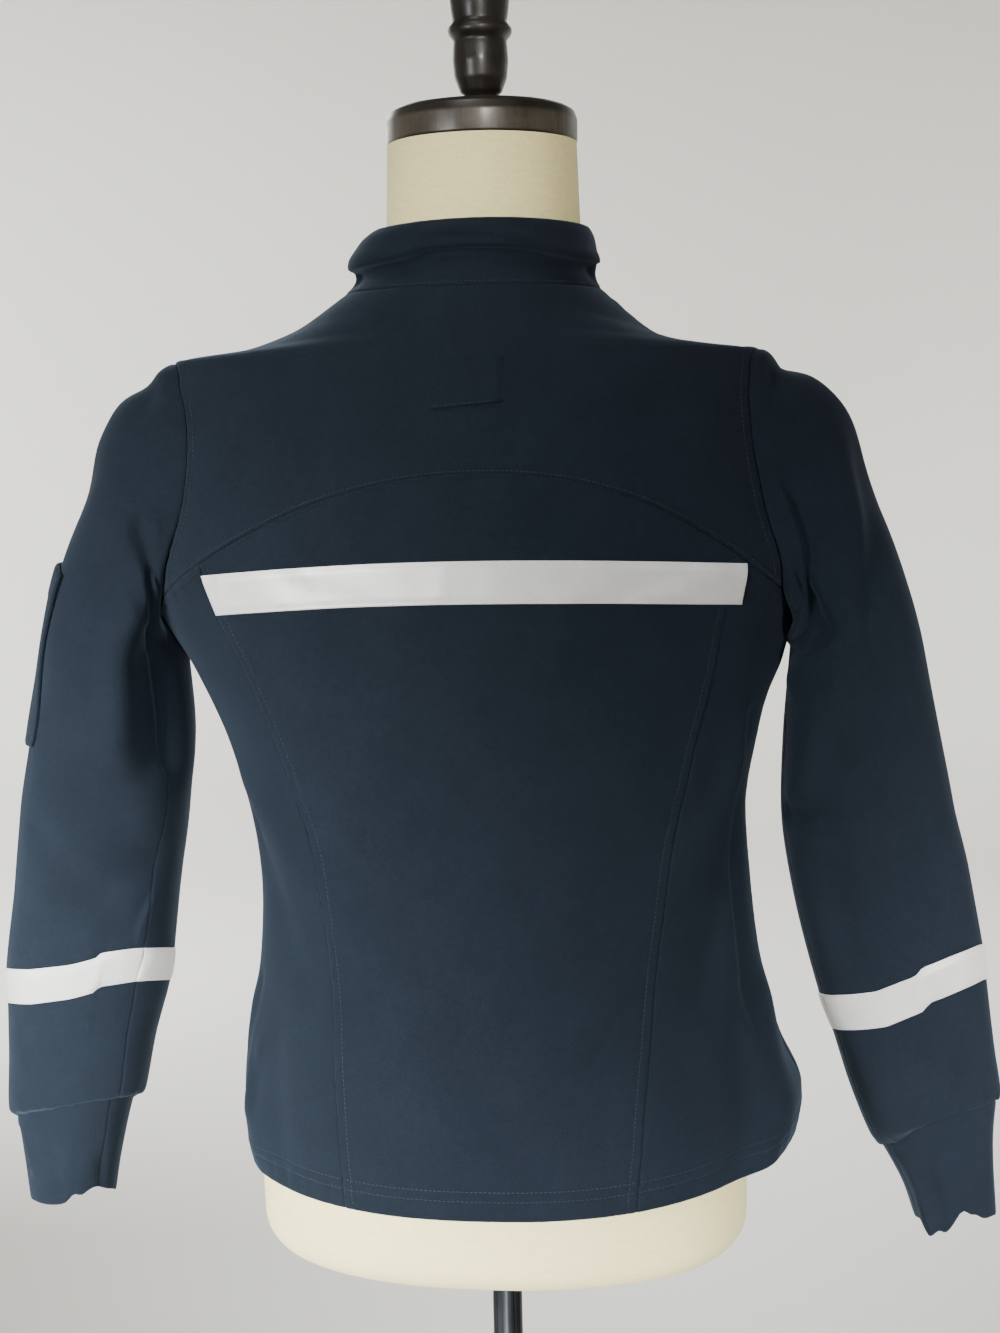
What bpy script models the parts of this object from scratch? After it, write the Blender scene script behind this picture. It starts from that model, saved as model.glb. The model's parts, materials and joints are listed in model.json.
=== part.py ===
"""A fitted flame-resistant fleece jacket on a limbless dress form with its stand, as a Blender script.

Metres, +Z up. The form and the jacket face -Y, so the wearer's left is +X and the back is +Y.
The origin is on the floor, under the centre of the stand's base.
"""

import math
from collections import namedtuple
from functools import lru_cache

import bpy
import numpy as np

# Driving sizes
CLOTH = 0.002
CUFF_CLOTH = 0.003
COLLAR_CLOTH = 0.003
SEAM_GAP = 0.0005
SLEEVE_GAP = 0.0006
YOKE_SPARE = 0.0003
SAME_POINT = 1e-6
SETTLE_STEPS = 30
TAPE_THICK = 0.0006
LIE_GAP = 0.0003
PATCH_THICK = 0.0012
POCKET_THICK = 0.0030
ZIP_WIDTH = 0.0062
ZIP_THICK = 0.0022

# One row for each level of the jacket's body, from hem to neck: the height at the wearer's left,
# right, back and front, how far the cloth stands from the middle plane on each side, and how
# square the section is (2 is an ellipse). Between underarm and shoulder tip the left and right
# reach lies out in the armhole, where no body cloth is.
Level = namedtuple("Level", "name z_left z_right z_back z_front left right back front square")
BODY = (
    Level("hem", 0.824, 0.842, 0.8175, 0.836, 0.166, 0.192, 0.113, 0.112, 2.3),
    Level("hip", 0.855, 0.866, 0.855, 0.864, 0.1690, 0.1955, 0.117, 0.113, 2.3),
    Level("high hip", 0.900, 0.900, 0.900, 0.900, 0.1645, 0.1815, 0.116, 0.109, 2.3),
    Level("below waist", 0.950, 0.950, 0.950, 0.950, 0.1565, 0.1690, 0.108, 0.103, 2.25),
    Level("waist", 1.000, 1.000, 1.000, 1.000, 0.1540, 0.1630, 0.099, 0.102, 2.2),
    Level("above waist", 1.050, 1.050, 1.050, 1.050, 0.1600, 0.1600, 0.095, 0.107, 2.2),
    Level("ribs", 1.100, 1.100, 1.100, 1.100, 0.1735, 0.1680, 0.097, 0.118, 2.15),
    Level("bust", 1.145, 1.145, 1.145, 1.145, 0.1940, 0.1795, 0.103, 0.127, 2.05),
    Level("underarm", 1.182, 1.182, 1.182, 1.182, 0.2150, 0.1900, 0.107, 0.128, 2.0),
    Level("chest", 1.215, 1.215, 1.215, 1.212, 0.2240, 0.2040, 0.107, 0.124, 2.05),
    Level("blades", 1.250, 1.250, 1.250, 1.243, 0.2200, 0.2020, 0.103, 0.117, 2.1),
    Level("upper back", 1.290, 1.290, 1.290, 1.272, 0.2130, 0.1930, 0.096, 0.106, 2.2),
    Level("shoulder end", 1.320, 1.320, 1.322, 1.293, 0.2060, 0.1800, 0.088, 0.096, 2.3),
    Level("shoulder tip", 1.337, 1.337, 1.341, 1.306, 0.1980, 0.1700, 0.081, 0.088, 2.2),
    Level("outer shoulder", 1.3410, 1.3385, 1.353, 1.313, 0.1620, 0.1430, 0.075, 0.083, 2.0),
    Level("inner shoulder", 1.3520, 1.3470, 1.365, 1.320, 0.1260, 0.1090, 0.070, 0.079, 2.0),
    Level("neck", 1.3765, 1.3765, 1.3765, 1.330, 0.0870, 0.0715, 0.0675, 0.0750, 2.0),
)
UNDERARM = 8
TIP = 13
NECK = 16
LOW_LEVELS = [0, 0.5, 1, 1.6, 2.2, 2.8, 3.4, 4, 4.6, 5.2, 5.8, 6.4, 7]
SHOULDER_LEVELS = [TIP + 1, TIP + 2, NECK]

# The collar's rings, from its seam to its upper edge, with the same columns
COLLAR = (
    Level("seam", 1.3765, 1.3765, 1.3765, 1.330, 0.0870, 0.0715, 0.0675, 0.0750, 2.0),
    Level("roll", 1.3860, 1.3860, 1.3870, 1.341, 0.0805, 0.0690, 0.0662, 0.0735, 2.0),
    Level("fold", 1.3965, 1.3965, 1.3985, 1.353, 0.0830, 0.0705, 0.0692, 0.0725, 2.0),
    Level("stand", 1.4070, 1.4070, 1.4090, 1.365, 0.0775, 0.0690, 0.0685, 0.0705, 2.0),
    Level("top edge", 1.4140, 1.4140, 1.4155, 1.376, 0.0690, 0.0660, 0.0655, 0.0685, 2.0),
)

# The armhole is an upright egg around the shoulder end: half its breadth to the back and the front
ARMHOLE_BACK = 0.060
ARMHOLE_FRONT = 0.056
ARMHOLE_ROUND = 0.6
SIDE_ARC_STEPS = 4
UNDERARM_CLIMBS = (0.45, 0.8, 1)
YOKE_ARC_STEPS = 9
FRONT_ARC_STEPS = 12
YOKE_END = 0.163

# The curved yoke seam: its height at the centre back, and how it falls to the armholes
YOKE_TOP = 1.2665
YOKE_FALL_LEFT = 2.05
YOKE_FALL_RIGHT = 2.4
PRINCESS_TOP_LEFT = 0.171
PRINCESS_TOP_RIGHT = 0.159

# The seams that shape the back, as the distance from the centre back at a few heights
Princess = namedtuple("Princess", "z left right")
PRINCESS = (
    Princess(0.82, 0.0885, 0.0905),
    Princess(0.86, 0.0905, 0.0945),
    Princess(0.95, 0.0940, 0.1020),
    Princess(1.02, 0.1020, 0.1100),
    Princess(1.08, 0.1200, 0.1230),
    Princess(1.145, 0.1440, 0.1400),
)
MIDDLE_COLUMNS = [0, 0.1, 0.2, 0.3, 0.4, 0.5, 0.6, 0.7, 0.8, 0.9, 1]
SIDE_COLUMNS = [0, 0.2, 0.38, 0.54, 0.7, 0.85, 1]
FRONT_COLUMNS = [0, 0.06, 0.16, 0.3, 0.46, 0.64, 0.82, 1]

# Reflective tape: one inch wide, with its lower edge at this height on the centre back
TAPE_WIDTH = 0.0254
TAPE_LOW = 1.1915
TAPE_DROOP_LEFT = 0.0095
TAPE_DROOP_RIGHT = 0.0065

# Largest soft folds of the body: from and to (angle from the left side, height), how broad the
# fold is and how far it stands out of the cloth, less than 0 for a hollow
Fold = namedtuple("Fold", "angle_0 at_0 angle_1 at_1 breadth lift")
BODY_FOLDS = [
    Fold(24, 1.075, 62, 0.985, 0.020, 0.0030),
    Fold(18, 1.040, 48, 0.945, 0.016, -0.0028),
    Fold(158, 1.085, 128, 1.000, 0.020, 0.0028),
    Fold(164, 1.045, 138, 0.950, 0.016, -0.0026),
    Fold(170, 0.930, 150, 0.845, 0.022, 0.0040),
    Fold(152, 0.930, 140, 0.850, 0.018, -0.0030),
    Fold(14, 0.925, 26, 0.845, 0.020, 0.0032),
    Fold(36, 0.915, 40, 0.850, 0.018, -0.0024),
    Fold(196, 1.075, 235, 0.985, 0.020, 0.0028),
    Fold(344, 1.075, 305, 0.985, 0.020, 0.0028),
    Fold(338, 0.915, 330, 0.850, 0.018, -0.0026),
    Fold(204, 0.915, 214, 0.850, 0.018, -0.0026),
]
BODY_DEGREE = 0.0028

# One row for each section of a sleeve, from the top of the arm to the cuff's seam: where its middle
# is (distance out from the centre plane, depth, height), half its width and depth, how far its
# outer end is lifted and its back end is lifted, in degrees.
Section = namedtuple("Section", "name out y z wide deep lift pitch")
SLEEVE_LEFT = (
    Section("upper arm", 0.2488, -0.004, 1.1495, 0.0457, 0.056, 0, 0),
    Section("arm", 0.2547, -0.010, 1.0983, 0.0530, 0.056, 0, 2),
    Section("elbow", 0.2655, -0.018, 1.0462, 0.0559, 0.053, -1, 5),
    Section("below elbow", 0.2770, -0.028, 0.9928, 0.0563, 0.049, -3, 10),
    Section("tape top", 0.2890, -0.038, 0.9349, 0.0585, 0.045, -7, 15),
    Section("tape foot", 0.2929, -0.042, 0.9098, 0.0568, 0.043, -8, 15),
    Section("forearm", 0.3017, -0.047, 0.8681, 0.0518, 0.039, -8, 15),
    Section("full end", 0.3088, -0.051, 0.8265, 0.0483, 0.036, -8, 15),
    Section("drawn end", 0.3102, -0.052, 0.8183, 0.0423, 0.032, -8, 15),
)
SLEEVE_RIGHT = (
    Section("upper arm", 0.2296, -0.002, 1.1497, 0.0416, 0.054, 0, 0),
    Section("arm", 0.2325, -0.006, 1.0990, 0.0482, 0.055, 2, 2),
    Section("elbow", 0.2371, -0.013, 1.0472, 0.0541, 0.053, 5, 4),
    Section("below elbow", 0.2474, -0.022, 0.9943, 0.0566, 0.049, 10, 8),
    Section("tape top", 0.2613, -0.031, 0.9335, 0.0549, 0.045, 17, 13),
    Section("tape foot", 0.2673, -0.035, 0.9089, 0.0525, 0.043, 18, 13),
    Section("forearm", 0.2768, -0.040, 0.8655, 0.0492, 0.039, 18, 13),
    Section("full end", 0.2867, -0.044, 0.8297, 0.0452, 0.036, 18, 13),
    Section("drawn end", 0.2886, -0.045, 0.8211, 0.0400, 0.032, 18, 13),
)
CUFF_LEFT = (
    Section("seam", 0.3102, -0.052, 0.8183, 0.0423, 0.032, -8, 15),
    Section("upper", 0.3127, -0.053, 0.8022, 0.0379, 0.029, -6, 14),
    Section("lower", 0.3152, -0.055, 0.7783, 0.0333, 0.027, -5, 12),
    Section("edge", 0.3170, -0.056, 0.7537, 0.0300, 0.025, -4, 10),
)
CUFF_RIGHT = (
    Section("seam", 0.2886, -0.045, 0.8211, 0.0400, 0.032, 18, 13),
    Section("upper", 0.2916, -0.046, 0.8051, 0.0348, 0.029, 15, 12),
    Section("lower", 0.2971, -0.048, 0.7813, 0.0297, 0.027, 11, 11),
    Section("edge", 0.3021, -0.050, 0.7544, 0.0266, 0.025, 8, 10),
)
CUFF_WAVE = 0.0045
CUFF_WAVE_START = 0.6
CUFF_WAVE_PEAK = 0.4
SLEEVE_SQUARE = 2.2
CAP_SHARES = [0, 0.12, 0.24, 0.36, 0.48, 0.6, 0.725, 0.86]
CAP_START = 0.60
CAP_END = 0.95
CAP_ONWARD_ROW = 0.2
CAP_LENGTH = 0.150
FOLDS_START_RINGS = 2
SEAM_SLANT_LEAST = 0.8
SECTION_LENGTH = 0.050
LEAVE_UNDERARM = (0.25, 0, -1)
LEAVE_TIP = (1, 0, -0.1)
SLEEVE_STEPS = [0, 0.5, 1.1, 1.6, 2.1, 2.6, 3, 3.5, 4, 5, 5.5, 6, 6.5, 7, 8]
TAPE_SECTIONS = (4, 5)
CUFF_ROWS = 6
COLLAR_ROWS = 8
SLEEVE_DEGREE = 0.00095

# Largest folds of each sleeve: angle round from its inner side by the back, and distance down it
LEFT_FOLDS = [
    Fold(178, 0.014, 178, 0.016, 0.012, -0.0030),
    Fold(178, 0.042, 178, 0.058, 0.020, 0.0055),
    Fold(66, 0.095, 72, 0.200, 0.013, 0.0060),
    Fold(34, 0.100, 38, 0.215, 0.018, -0.0110),
    Fold(120, 0.190, 66, 0.262, 0.018, -0.0035),
    Fold(300, 0.110, 322, 0.230, 0.018, -0.0080),
    Fold(40, 0.290, 120, 0.330, 0.016, -0.0030),
    Fold(300, 0.330, 230, 0.300, 0.018, -0.0040),
]
RIGHT_FOLDS = [
    Fold(178, 0.012, 178, 0.014, 0.012, -0.0020),
    Fold(178, 0.036, 178, 0.052, 0.020, 0.0050),
    Fold(134, 0.085, 122, 0.235, 0.012, -0.0050),
    Fold(116, 0.080, 104, 0.190, 0.013, 0.0045),
    Fold(52, 0.060, 58, 0.120, 0.012, -0.0070),
    Fold(60, 0.135, 20, 0.165, 0.012, 0.0040),
    Fold(300, 0.110, 322, 0.230, 0.018, -0.0080),
    Fold(40, 0.290, 120, 0.330, 0.016, -0.0030),
]

# The patch pocket on the left upper arm: the arc that it covers, the share of the cap where it
# starts and the section of the sleeve where it ends
POCKET_ARC = (138, 222)
POCKET_TOP = 0.725
POCKET_FOOT = 1.1

# The small self-cloth patch below the collar
PATCH_SIDES = (0.0285, -0.0215)
PATCH_HEIGHTS = (1.3045, 1.3305)

# The dress form: height, half its width, and its depth to the back and front of the pole
Round = namedtuple("Round", "z_side z_back z_front wide back front square")
FORM = (
    Round(0.7570, 0.7570, 0.7570, 0.1180, 0.066, 0.062, 2.3),
    Round(0.7600, 0.7600, 0.7600, 0.1400, 0.084, 0.080, 2.3),
    Round(0.7680, 0.7680, 0.7680, 0.1540, 0.096, 0.092, 2.3),
    Round(0.7820, 0.7820, 0.7820, 0.1595, 0.102, 0.097, 2.3),
    Round(0.8200, 0.8200, 0.8200, 0.1600, 0.105, 0.099, 2.3),
    Round(0.8600, 0.8600, 0.8600, 0.1590, 0.105, 0.098, 2.3),
    Round(0.9050, 0.9050, 0.9050, 0.1520, 0.101, 0.093, 2.25),
    Round(0.9500, 0.9500, 0.9500, 0.1400, 0.091, 0.086, 2.2),
    Round(1.0000, 1.0000, 1.0000, 0.1300, 0.081, 0.082, 2.2),
    Round(1.0500, 1.0500, 1.0500, 0.1330, 0.081, 0.088, 2.2),
    Round(1.1000, 1.1000, 1.1000, 0.1440, 0.087, 0.102, 2.1),
    Round(1.1500, 1.1500, 1.1500, 0.1560, 0.094, 0.114, 2.05),
    Round(1.2000, 1.2000, 1.1980, 0.1650, 0.098, 0.110, 2.0),
    Round(1.2500, 1.2500, 1.2400, 0.1680, 0.095, 0.101, 1.95),
    Round(1.2900, 1.2900, 1.2680, 0.1660, 0.088, 0.092, 1.8),
    Round(1.3180, 1.3160, 1.2860, 0.1600, 0.080, 0.084, 1.7),
    Round(1.3300, 1.3320, 1.2990, 0.1500, 0.074, 0.078, 1.7),
    Round(1.3360, 1.3450, 1.3070, 0.1350, 0.070, 0.074, 1.7),
    Round(1.3414, 1.3550, 1.3140, 0.1160, 0.067, 0.071, 1.8),
    Round(1.3486, 1.3640, 1.3230, 0.0960, 0.0645, 0.068, 1.9),
    Round(1.3590, 1.3750, 1.3400, 0.0735, 0.0620, 0.064, 2.0),
    Round(1.3740, 1.3860, 1.3580, 0.0635, 0.0608, 0.062, 2.0),
    Round(1.4050, 1.4050, 1.3800, 0.0606, 0.0602, 0.0605, 2.0),
    Round(1.4350, 1.4350, 1.4260, 0.0596, 0.0596, 0.0596, 2.0),
    Round(1.4655, 1.4655, 1.4655, 0.0585, 0.0585, 0.0585, 2.0),
)
FORM_SEGMENTS = 32
FORM_CAP_SEGMENTS = 32
FINIAL_SEGMENTS = 20
POLE_SEGMENTS = 20
BASE_SEGMENTS = 40
POLE_RADIUS = 0.00985
POLE_FIT = 0.0004
FORM_SOCKET_TOP = 0.830
BASE_SOCKET_FOOT = 0.010

# Turned profiles, radius and height, from the axis at the bottom to the axis at the top
CAP_PROFILE = [
    (0, 1.4658),
    (0.0590, 1.4658),
    (0.0592, 1.4790),
    (0.0575, 1.4840),
    (0.0530, 1.4865),
    (0, 1.4865),
]
FINIAL_PROFILE = [
    (0, 1.4868),
    (0.0086, 1.4868),
    (0.0086, 1.4940),
    (0.0132, 1.4972),
    (0.0162, 1.5050),
    (0.0173, 1.5150),
    (0.0169, 1.5240),
    (0.0164, 1.5275),
    (0.0196, 1.5312),
    (0.0200, 1.5345),
    (0.0168, 1.5385),
    (0.0178, 1.5440),
    (0.0187, 1.5520),
    (0.0176, 1.5610),
    (0.0140, 1.5680),
    (0.0118, 1.5725),
    (0.0142, 1.5770),
    (0.0142, 1.5830),
    (0.0100, 1.5900),
    (0, 1.5930),
]
BASE_PROFILE = [
    (0, 0),
    (0.1680, 0),
    (0.1700, 0.0020),
    (0.1700, 0.0070),
    (0.1660, 0.0100),
    (0.0600, 0.0135),
    (0.0240, 0.0180),
    (0.0170, 0.0260),
    (0.0160, 0.0600),
    (0.0145, 0.0620),
    (POLE_RADIUS + POLE_FIT, 0.0620),
    (POLE_RADIUS + POLE_FIT, BASE_SOCKET_FOOT),
    (0, BASE_SOCKET_FOOT),
]

# The zip's slider and pull tab, at the top of the collar's front
SLIDER_Z = 1.3615
SLIDER_HIGH = 0.0120
SLIDER_WIDE = 0.0090
SLIDER_DEEP = 0.0030
SLIDER_FIT = 0.0005
BRIDGE_WIDE = 0.0016
BRIDGE_HIGH = 0.0080
BRIDGE_CLEAR = 0.0020
BRIDGE_BAR = 0.0010
PULL_LONG = 0.0250
PULL_WIDE = 0.0062
PULL_THICK = 0.0012
PULL_EYE = 0.0056
PULL_FIT = 0.0005

COLOURS = {
    "cloth": ((0.012, 0.020, 0.032), 0.95, 0.0),
    "tape": ((0.55, 0.55, 0.56), 0.45, 0.2),
    "zip": ((0.010, 0.014, 0.022), 0.45, 0.0),
    "zip_metal": ((0.10, 0.10, 0.11), 0.35, 1.0),
    "form": ((0.72, 0.66, 0.50), 0.90, 0.0),
    "wood": ((0.060, 0.036, 0.026), 0.45, 0.0),
    "pole": ((0.16, 0.17, 0.19), 0.30, 1.0),
    "base": ((0.030, 0.031, 0.034), 0.45, 0.6),
}


def smooth(values, at):
    """Reads evenly spaced values at a fraction between them, with no overshoot."""
    y = np.asarray(values, float)
    step = np.diff(y)
    slope = np.zeros(len(y))
    slope[0], slope[-1] = step[0], step[-1]
    for i in range(1, len(y) - 1):
        if step[i - 1] * step[i] > 0:
            slope[i] = 2 * step[i - 1] * step[i] / (step[i - 1] + step[i])
    i = min(max(int(math.floor(at)), 0), len(y) - 2)
    t = min(max(at - i, 0.0), 1.0)
    return float(
        y[i] * (2 * t**3 - 3 * t**2 + 1)
        + slope[i] * (t**3 - 2 * t**2 + t)
        + y[i + 1] * (3 * t**2 - 2 * t**3)
        + slope[i + 1] * (t**3 - t**2)
    )


@lru_cache(maxsize=None)
def row_at(table, at):
    """The table's row at a fraction between its rows, with every number smoothed."""
    kind = type(table[0])
    names = [name for name in kind._fields if name != "name"]
    values = {name: smooth([getattr(row, name) for row in table], at) for name in names}
    return kind(**values, **({"name": ""} if "name" in kind._fields else {}))


def level_at(z):
    """The body's level, as a fraction between rows, whose back is at this height."""
    heights = [row.z_back for row in BODY]
    return float(np.interp(z, heights, range(len(heights))))


def section_point(row, angle):
    """A point of a body or collar ring. Angles run from the wearer's left by the back."""
    c, s = math.cos(angle), math.sin(angle)
    side, side_z = (row.left, row.z_left) if c >= 0 else (row.right, row.z_right)
    depth, depth_z = (row.back, row.z_back) if s >= 0 else (row.front, row.z_front)
    power = 2 / row.square
    return np.array(
        [
            math.copysign(side * abs(c) ** power, c),
            math.copysign(depth * abs(s) ** power, s),
            side_z * c * c + depth_z * s * s,
        ]
    )


def fold_lift(folds, across, along, degree):
    """How far the folds push the cloth out at an angle in degrees and a place along it."""
    total = 0.0
    for f in folds:
        a = np.array([f.angle_0 * degree, f.at_0])
        b = np.array([f.angle_1 * degree, f.at_1])
        p = np.array([across * degree, along])
        t = np.clip((p - a) @ (b - a) / max((b - a) @ (b - a), 1e-9), 0, 1)
        away = np.linalg.norm(p - a - t * (b - a))
        total += f.lift * math.exp(-((away / f.breadth) ** 2))
    return total


def ring_cloth(table, angle, level, folds=()):
    """The outer point and the outward normal of cloth that follows a table of rings."""
    step = 1e-3
    around = section_point(row_at(table, level), angle + step) - section_point(
        row_at(table, level), angle - step
    )
    top = len(table) - 1
    up = section_point(row_at(table, min(level + step, top)), angle) - section_point(
        row_at(table, max(level - step, 0)), angle
    )
    normal = np.cross(around, up)
    normal /= np.linalg.norm(normal)
    point = section_point(row_at(table, level), angle)
    lift = fold_lift(folds, math.degrees(angle) % 360, point[2], BODY_DEGREE)
    return point + normal * lift, normal


def body_cloth(angle, level):
    return ring_cloth(BODY, angle, level, BODY_FOLDS)


def angle_at_x(row, x, back=True):
    """The angle at which a ring is this far to the left or, below 0, to the right."""
    side = row.left if x >= 0 else row.right
    turn = math.acos(min(abs(x) / side, 1.0) ** (row.square / 2))
    turn = turn if x >= 0 else math.pi - turn
    return turn if back else -turn


@lru_cache(maxsize=None)
def armhole(u, side, back):
    """(angle, level) on the armhole, from the underarm at u = 0 to the shoulder tip at u = 1."""
    low, high = BODY[UNDERARM].z_left, BODY[TIP].z_left
    z = low + (high - low) * (1 - math.cos(math.pi * u)) / 2
    level = float(np.interp(z, [row.z_left for row in BODY], range(len(BODY))))
    row = row_at(BODY, level)
    breadth = ARMHOLE_BACK if back else ARMHOLE_FRONT
    depth = row.back if back else row.front
    y = 0.0 if u in (0, 1) else breadth * math.sin(math.pi * u) ** ARMHOLE_ROUND
    turn = math.asin(min(y / depth, 1.0) ** (row.square / 2))
    turn = turn if side > 0 else math.pi - turn
    return (turn if back else -turn), level


def side_angle(side):
    return 0.0 if side > 0 else math.pi


def yoke_height(x):
    """The height of the curved yoke seam at a distance from the centre back."""
    angle, level = armhole(YOKE_END, 1 if x > 0 else -1, True)
    end = section_point(row_at(BODY, level), angle)
    fall = YOKE_FALL_LEFT if x > 0 else YOKE_FALL_RIGHT
    return YOKE_TOP - (YOKE_TOP - end[2]) * abs(x / end[0]) ** fall


@lru_cache(maxsize=None)
def yoke_level(angle):
    """The level of the yoke seam at an angle round the back."""
    for side in (1, -1):
        end, level = armhole(YOKE_END, side, True)
        if abs(angle - end) < SAME_POINT:
            return level
    level = level_at(YOKE_TOP)
    for _ in range(SETTLE_STEPS):
        x = section_point(row_at(BODY, level), angle)[0]
        level = 0.5 * (level + level_at(yoke_height(x)))
    return level


def seam_foot(side):
    """(angle, level) of the shaping seam at the level of the bust."""
    return princess_angle(LOW_LEVELS[-1], side), LOW_LEVELS[-1]


@lru_cache(maxsize=None)
def seam_top(side):
    """(angle, level) where the shaping seam ends on the yoke seam."""
    x = PRINCESS_TOP_LEFT if side > 0 else -PRINCESS_TOP_RIGHT
    level = level_at(yoke_height(x))
    angle = angle_at_x(row_at(BODY, level), x)
    return angle, yoke_level(angle)


def princess_angle(level, side):
    """The angle of the shaping seam up to the bust, by its table."""
    row = row_at(BODY, level)
    columns = [p.left if side > 0 else p.right for p in PRINCESS]
    x = float(np.interp(row.z_back, [p.z for p in PRINCESS], columns))
    return angle_at_x(row, side * x)


def tape_place(share, edge):
    """(angle, level) on an edge of the back tape, at a share of the way from left to right."""
    level = level_at(TAPE_LOW + edge)
    for _ in range(SETTLE_STEPS):
        ends = []
        for side in (1, -1):
            (foot_angle, foot), (top_angle, top) = seam_foot(side), seam_top(side)
            climb = min((level - foot) / (top - foot), 1.0)
            ends.append(mix(foot_angle, top_angle, climb))
        angle = mix(*ends, share)
        x = section_point(row_at(BODY, level), angle)[0]
        end, droop = (PRINCESS_TOP_LEFT, TAPE_DROOP_LEFT)
        if x < 0:
            end, droop = (PRINCESS_TOP_RIGHT, TAPE_DROOP_RIGHT)
        level = level_at(TAPE_LOW + edge - droop * (x / end) ** 2)
    return angle, level


def mix(a, b, t):
    return a + (b - a) * t


Cloth = namedtuple("Cloth", "outer inward")


def body_panel(places, edges, armholes):
    """Cloth of the body from a grid of (angle, level): its outer points and how far inward from
    each one the inner point lies. Where it meets an armhole it has that seam's inward vectors,
    and its named edges are drawn back for the seams."""
    found = [[body_cloth(angle, level) for angle, level in row] for row in places]
    outer = np.array([[p for p, _ in row] for row in found])
    inward = np.array([[-n * CLOTH for _, n in row] for row in found])
    for seam in armholes:
        away = np.linalg.norm(outer[:, :, None] - seam.outer, axis=3)
        rows, columns, points = np.nonzero(away < SAME_POINT)
        inward[rows, columns] = seam.inward[points]
    panel = Cloth(outer, inward)
    draw_back(panel, edges)
    return panel


def draw_back(cloth, edges, distance=SEAM_GAP / 2):
    """Draws a panel's named edges back, towards its next row or column, to leave the seam's gap."""
    grid = cloth.outer.copy()
    pairs = {
        "foot": (np.s_[0], np.s_[1]),
        "head": (np.s_[-1], np.s_[-2]),
        "start": (np.s_[:, 0], np.s_[:, 1]),
        "end": (np.s_[:, -1], np.s_[:, -2]),
    }
    for edge in edges:
        here, inside = pairs[edge]
        way = grid[inside] - grid[here]
        way /= np.maximum(np.linalg.norm(way, axis=-1, keepdims=True), 1e-9)
        cloth.outer[here] += way * distance


def middle_back_places():
    """The middle back panel's grid: rows from hem to yoke seam, columns from left to right."""
    rows = []
    for level in LOW_LEVELS:
        ends = [princess_angle(level, side) for side in (1, -1)]
        rows.append([(mix(*ends, s), level) for s in MIDDLE_COLUMNS])
    for edge in (0, TAPE_WIDTH):
        rows.append([tape_place(s, edge) for s in MIDDLE_COLUMNS])
    tops = [seam_top(side)[0] for side in (1, -1)]
    seam = [mix(*tops, s) for s in MIDDLE_COLUMNS]
    rows.append([(angle, yoke_level(angle)) for angle in seam])
    return rows


def side_back_places(side):
    """The panel between side seam and shaping seam, its columns from the side seam."""
    shares = [k / SIDE_ARC_STEPS for k in range(SIDE_ARC_STEPS + 1)]
    start = side_angle(side)
    rows = [[(mix(start, princess_angle(v, side), s), v) for s in SIDE_COLUMNS] for v in LOW_LEVELS]
    foot = rows[-1]
    head = [armhole(YOKE_END * s, side, True) for s in shares]
    head += [yoke_corner(side), seam_top(side)]
    share = 0 if side > 0 else 1
    seam = [tape_place(share, 0), tape_place(share, TAPE_WIDTH), seam_top(side)]
    for angle, level in seam:
        climb = (level - foot[-1][1]) / (head[-1][1] - foot[-1][1])
        row = [(mix(a[0], b[0], climb), mix(a[1], b[1], climb)) for a, b in zip(foot, head)]
        rows.append(row[:-1] + [(angle, level)])
    return rows


def yoke_corner(side):
    """(angle, level) on the yoke seam half way between the armhole and the shaping seam."""
    angle = (armhole(YOKE_END, side, True)[0] + seam_top(side)[0]) / 2
    return angle, yoke_level(angle)


def yoke_shares():
    """The yoke's columns as shares of the way across: its armholes, then the shaping seams' tops
    and the columns between them."""
    left, right = (armhole(YOKE_END, side, True)[0] for side in (1, -1))
    tops = [seam_top(side)[0] for side in (1, -1)]
    angles = [left, yoke_corner(1)[0]] + [mix(*tops, s) for s in MIDDLE_COLUMNS]
    angles += [yoke_corner(-1)[0], right]
    return [(angle - left) / (right - left) for angle in angles]


def yoke_places():
    """The yoke's grid from its curved seam up to the neck, columns from left to right."""
    shares = yoke_shares()
    ends = [armhole(YOKE_END, side, True) for side in (1, -1)]
    feet = [yoke_level(mix(ends[0][0], ends[1][0], s)) for s in shares]
    rows = []
    for k in range(YOKE_ARC_STEPS + 1):
        u = mix(YOKE_END, 1, k / YOKE_ARC_STEPS)
        (left, level), (right, _) = (armhole(u, side, True) for side in (1, -1))
        climb = (level - ends[0][1]) / (TIP - ends[0][1])
        rows.append([(mix(left, right, s), mix(f, TIP, climb)) for s, f in zip(shares, feet)])
    for level in SHOULDER_LEVELS:
        rows.append([(math.pi * s, level) for s in shares])
    return rows


def front_rows(side):
    """(angle, level) at the outer end of each row of a front: up the side seam, round the
    armhole and along the shoulder seam."""
    underarm = [mix(LOW_LEVELS[-1], UNDERARM, climb) for climb in UNDERARM_CLIMBS]
    rows = [(side_angle(side), level) for level in LOW_LEVELS + underarm]
    rows += [armhole(k / FRONT_ARC_STEPS, side, False) for k in range(1, FRONT_ARC_STEPS + 1)]
    return rows + [(side_angle(side), level) for level in SHOULDER_LEVELS]


def front_places(side):
    """A front's grid from hem to neck, columns from the zip to its outer edge."""
    rows = []
    for outer, level in front_rows(side):
        zip_edge = angle_at_x(row_at(BODY, level), side * ZIP_WIDTH / 2, back=False)
        if side < 0:
            outer = -abs(outer)
        rows.append([(mix(zip_edge, outer, s), level) for s in FRONT_COLUMNS])
    return rows


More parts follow.
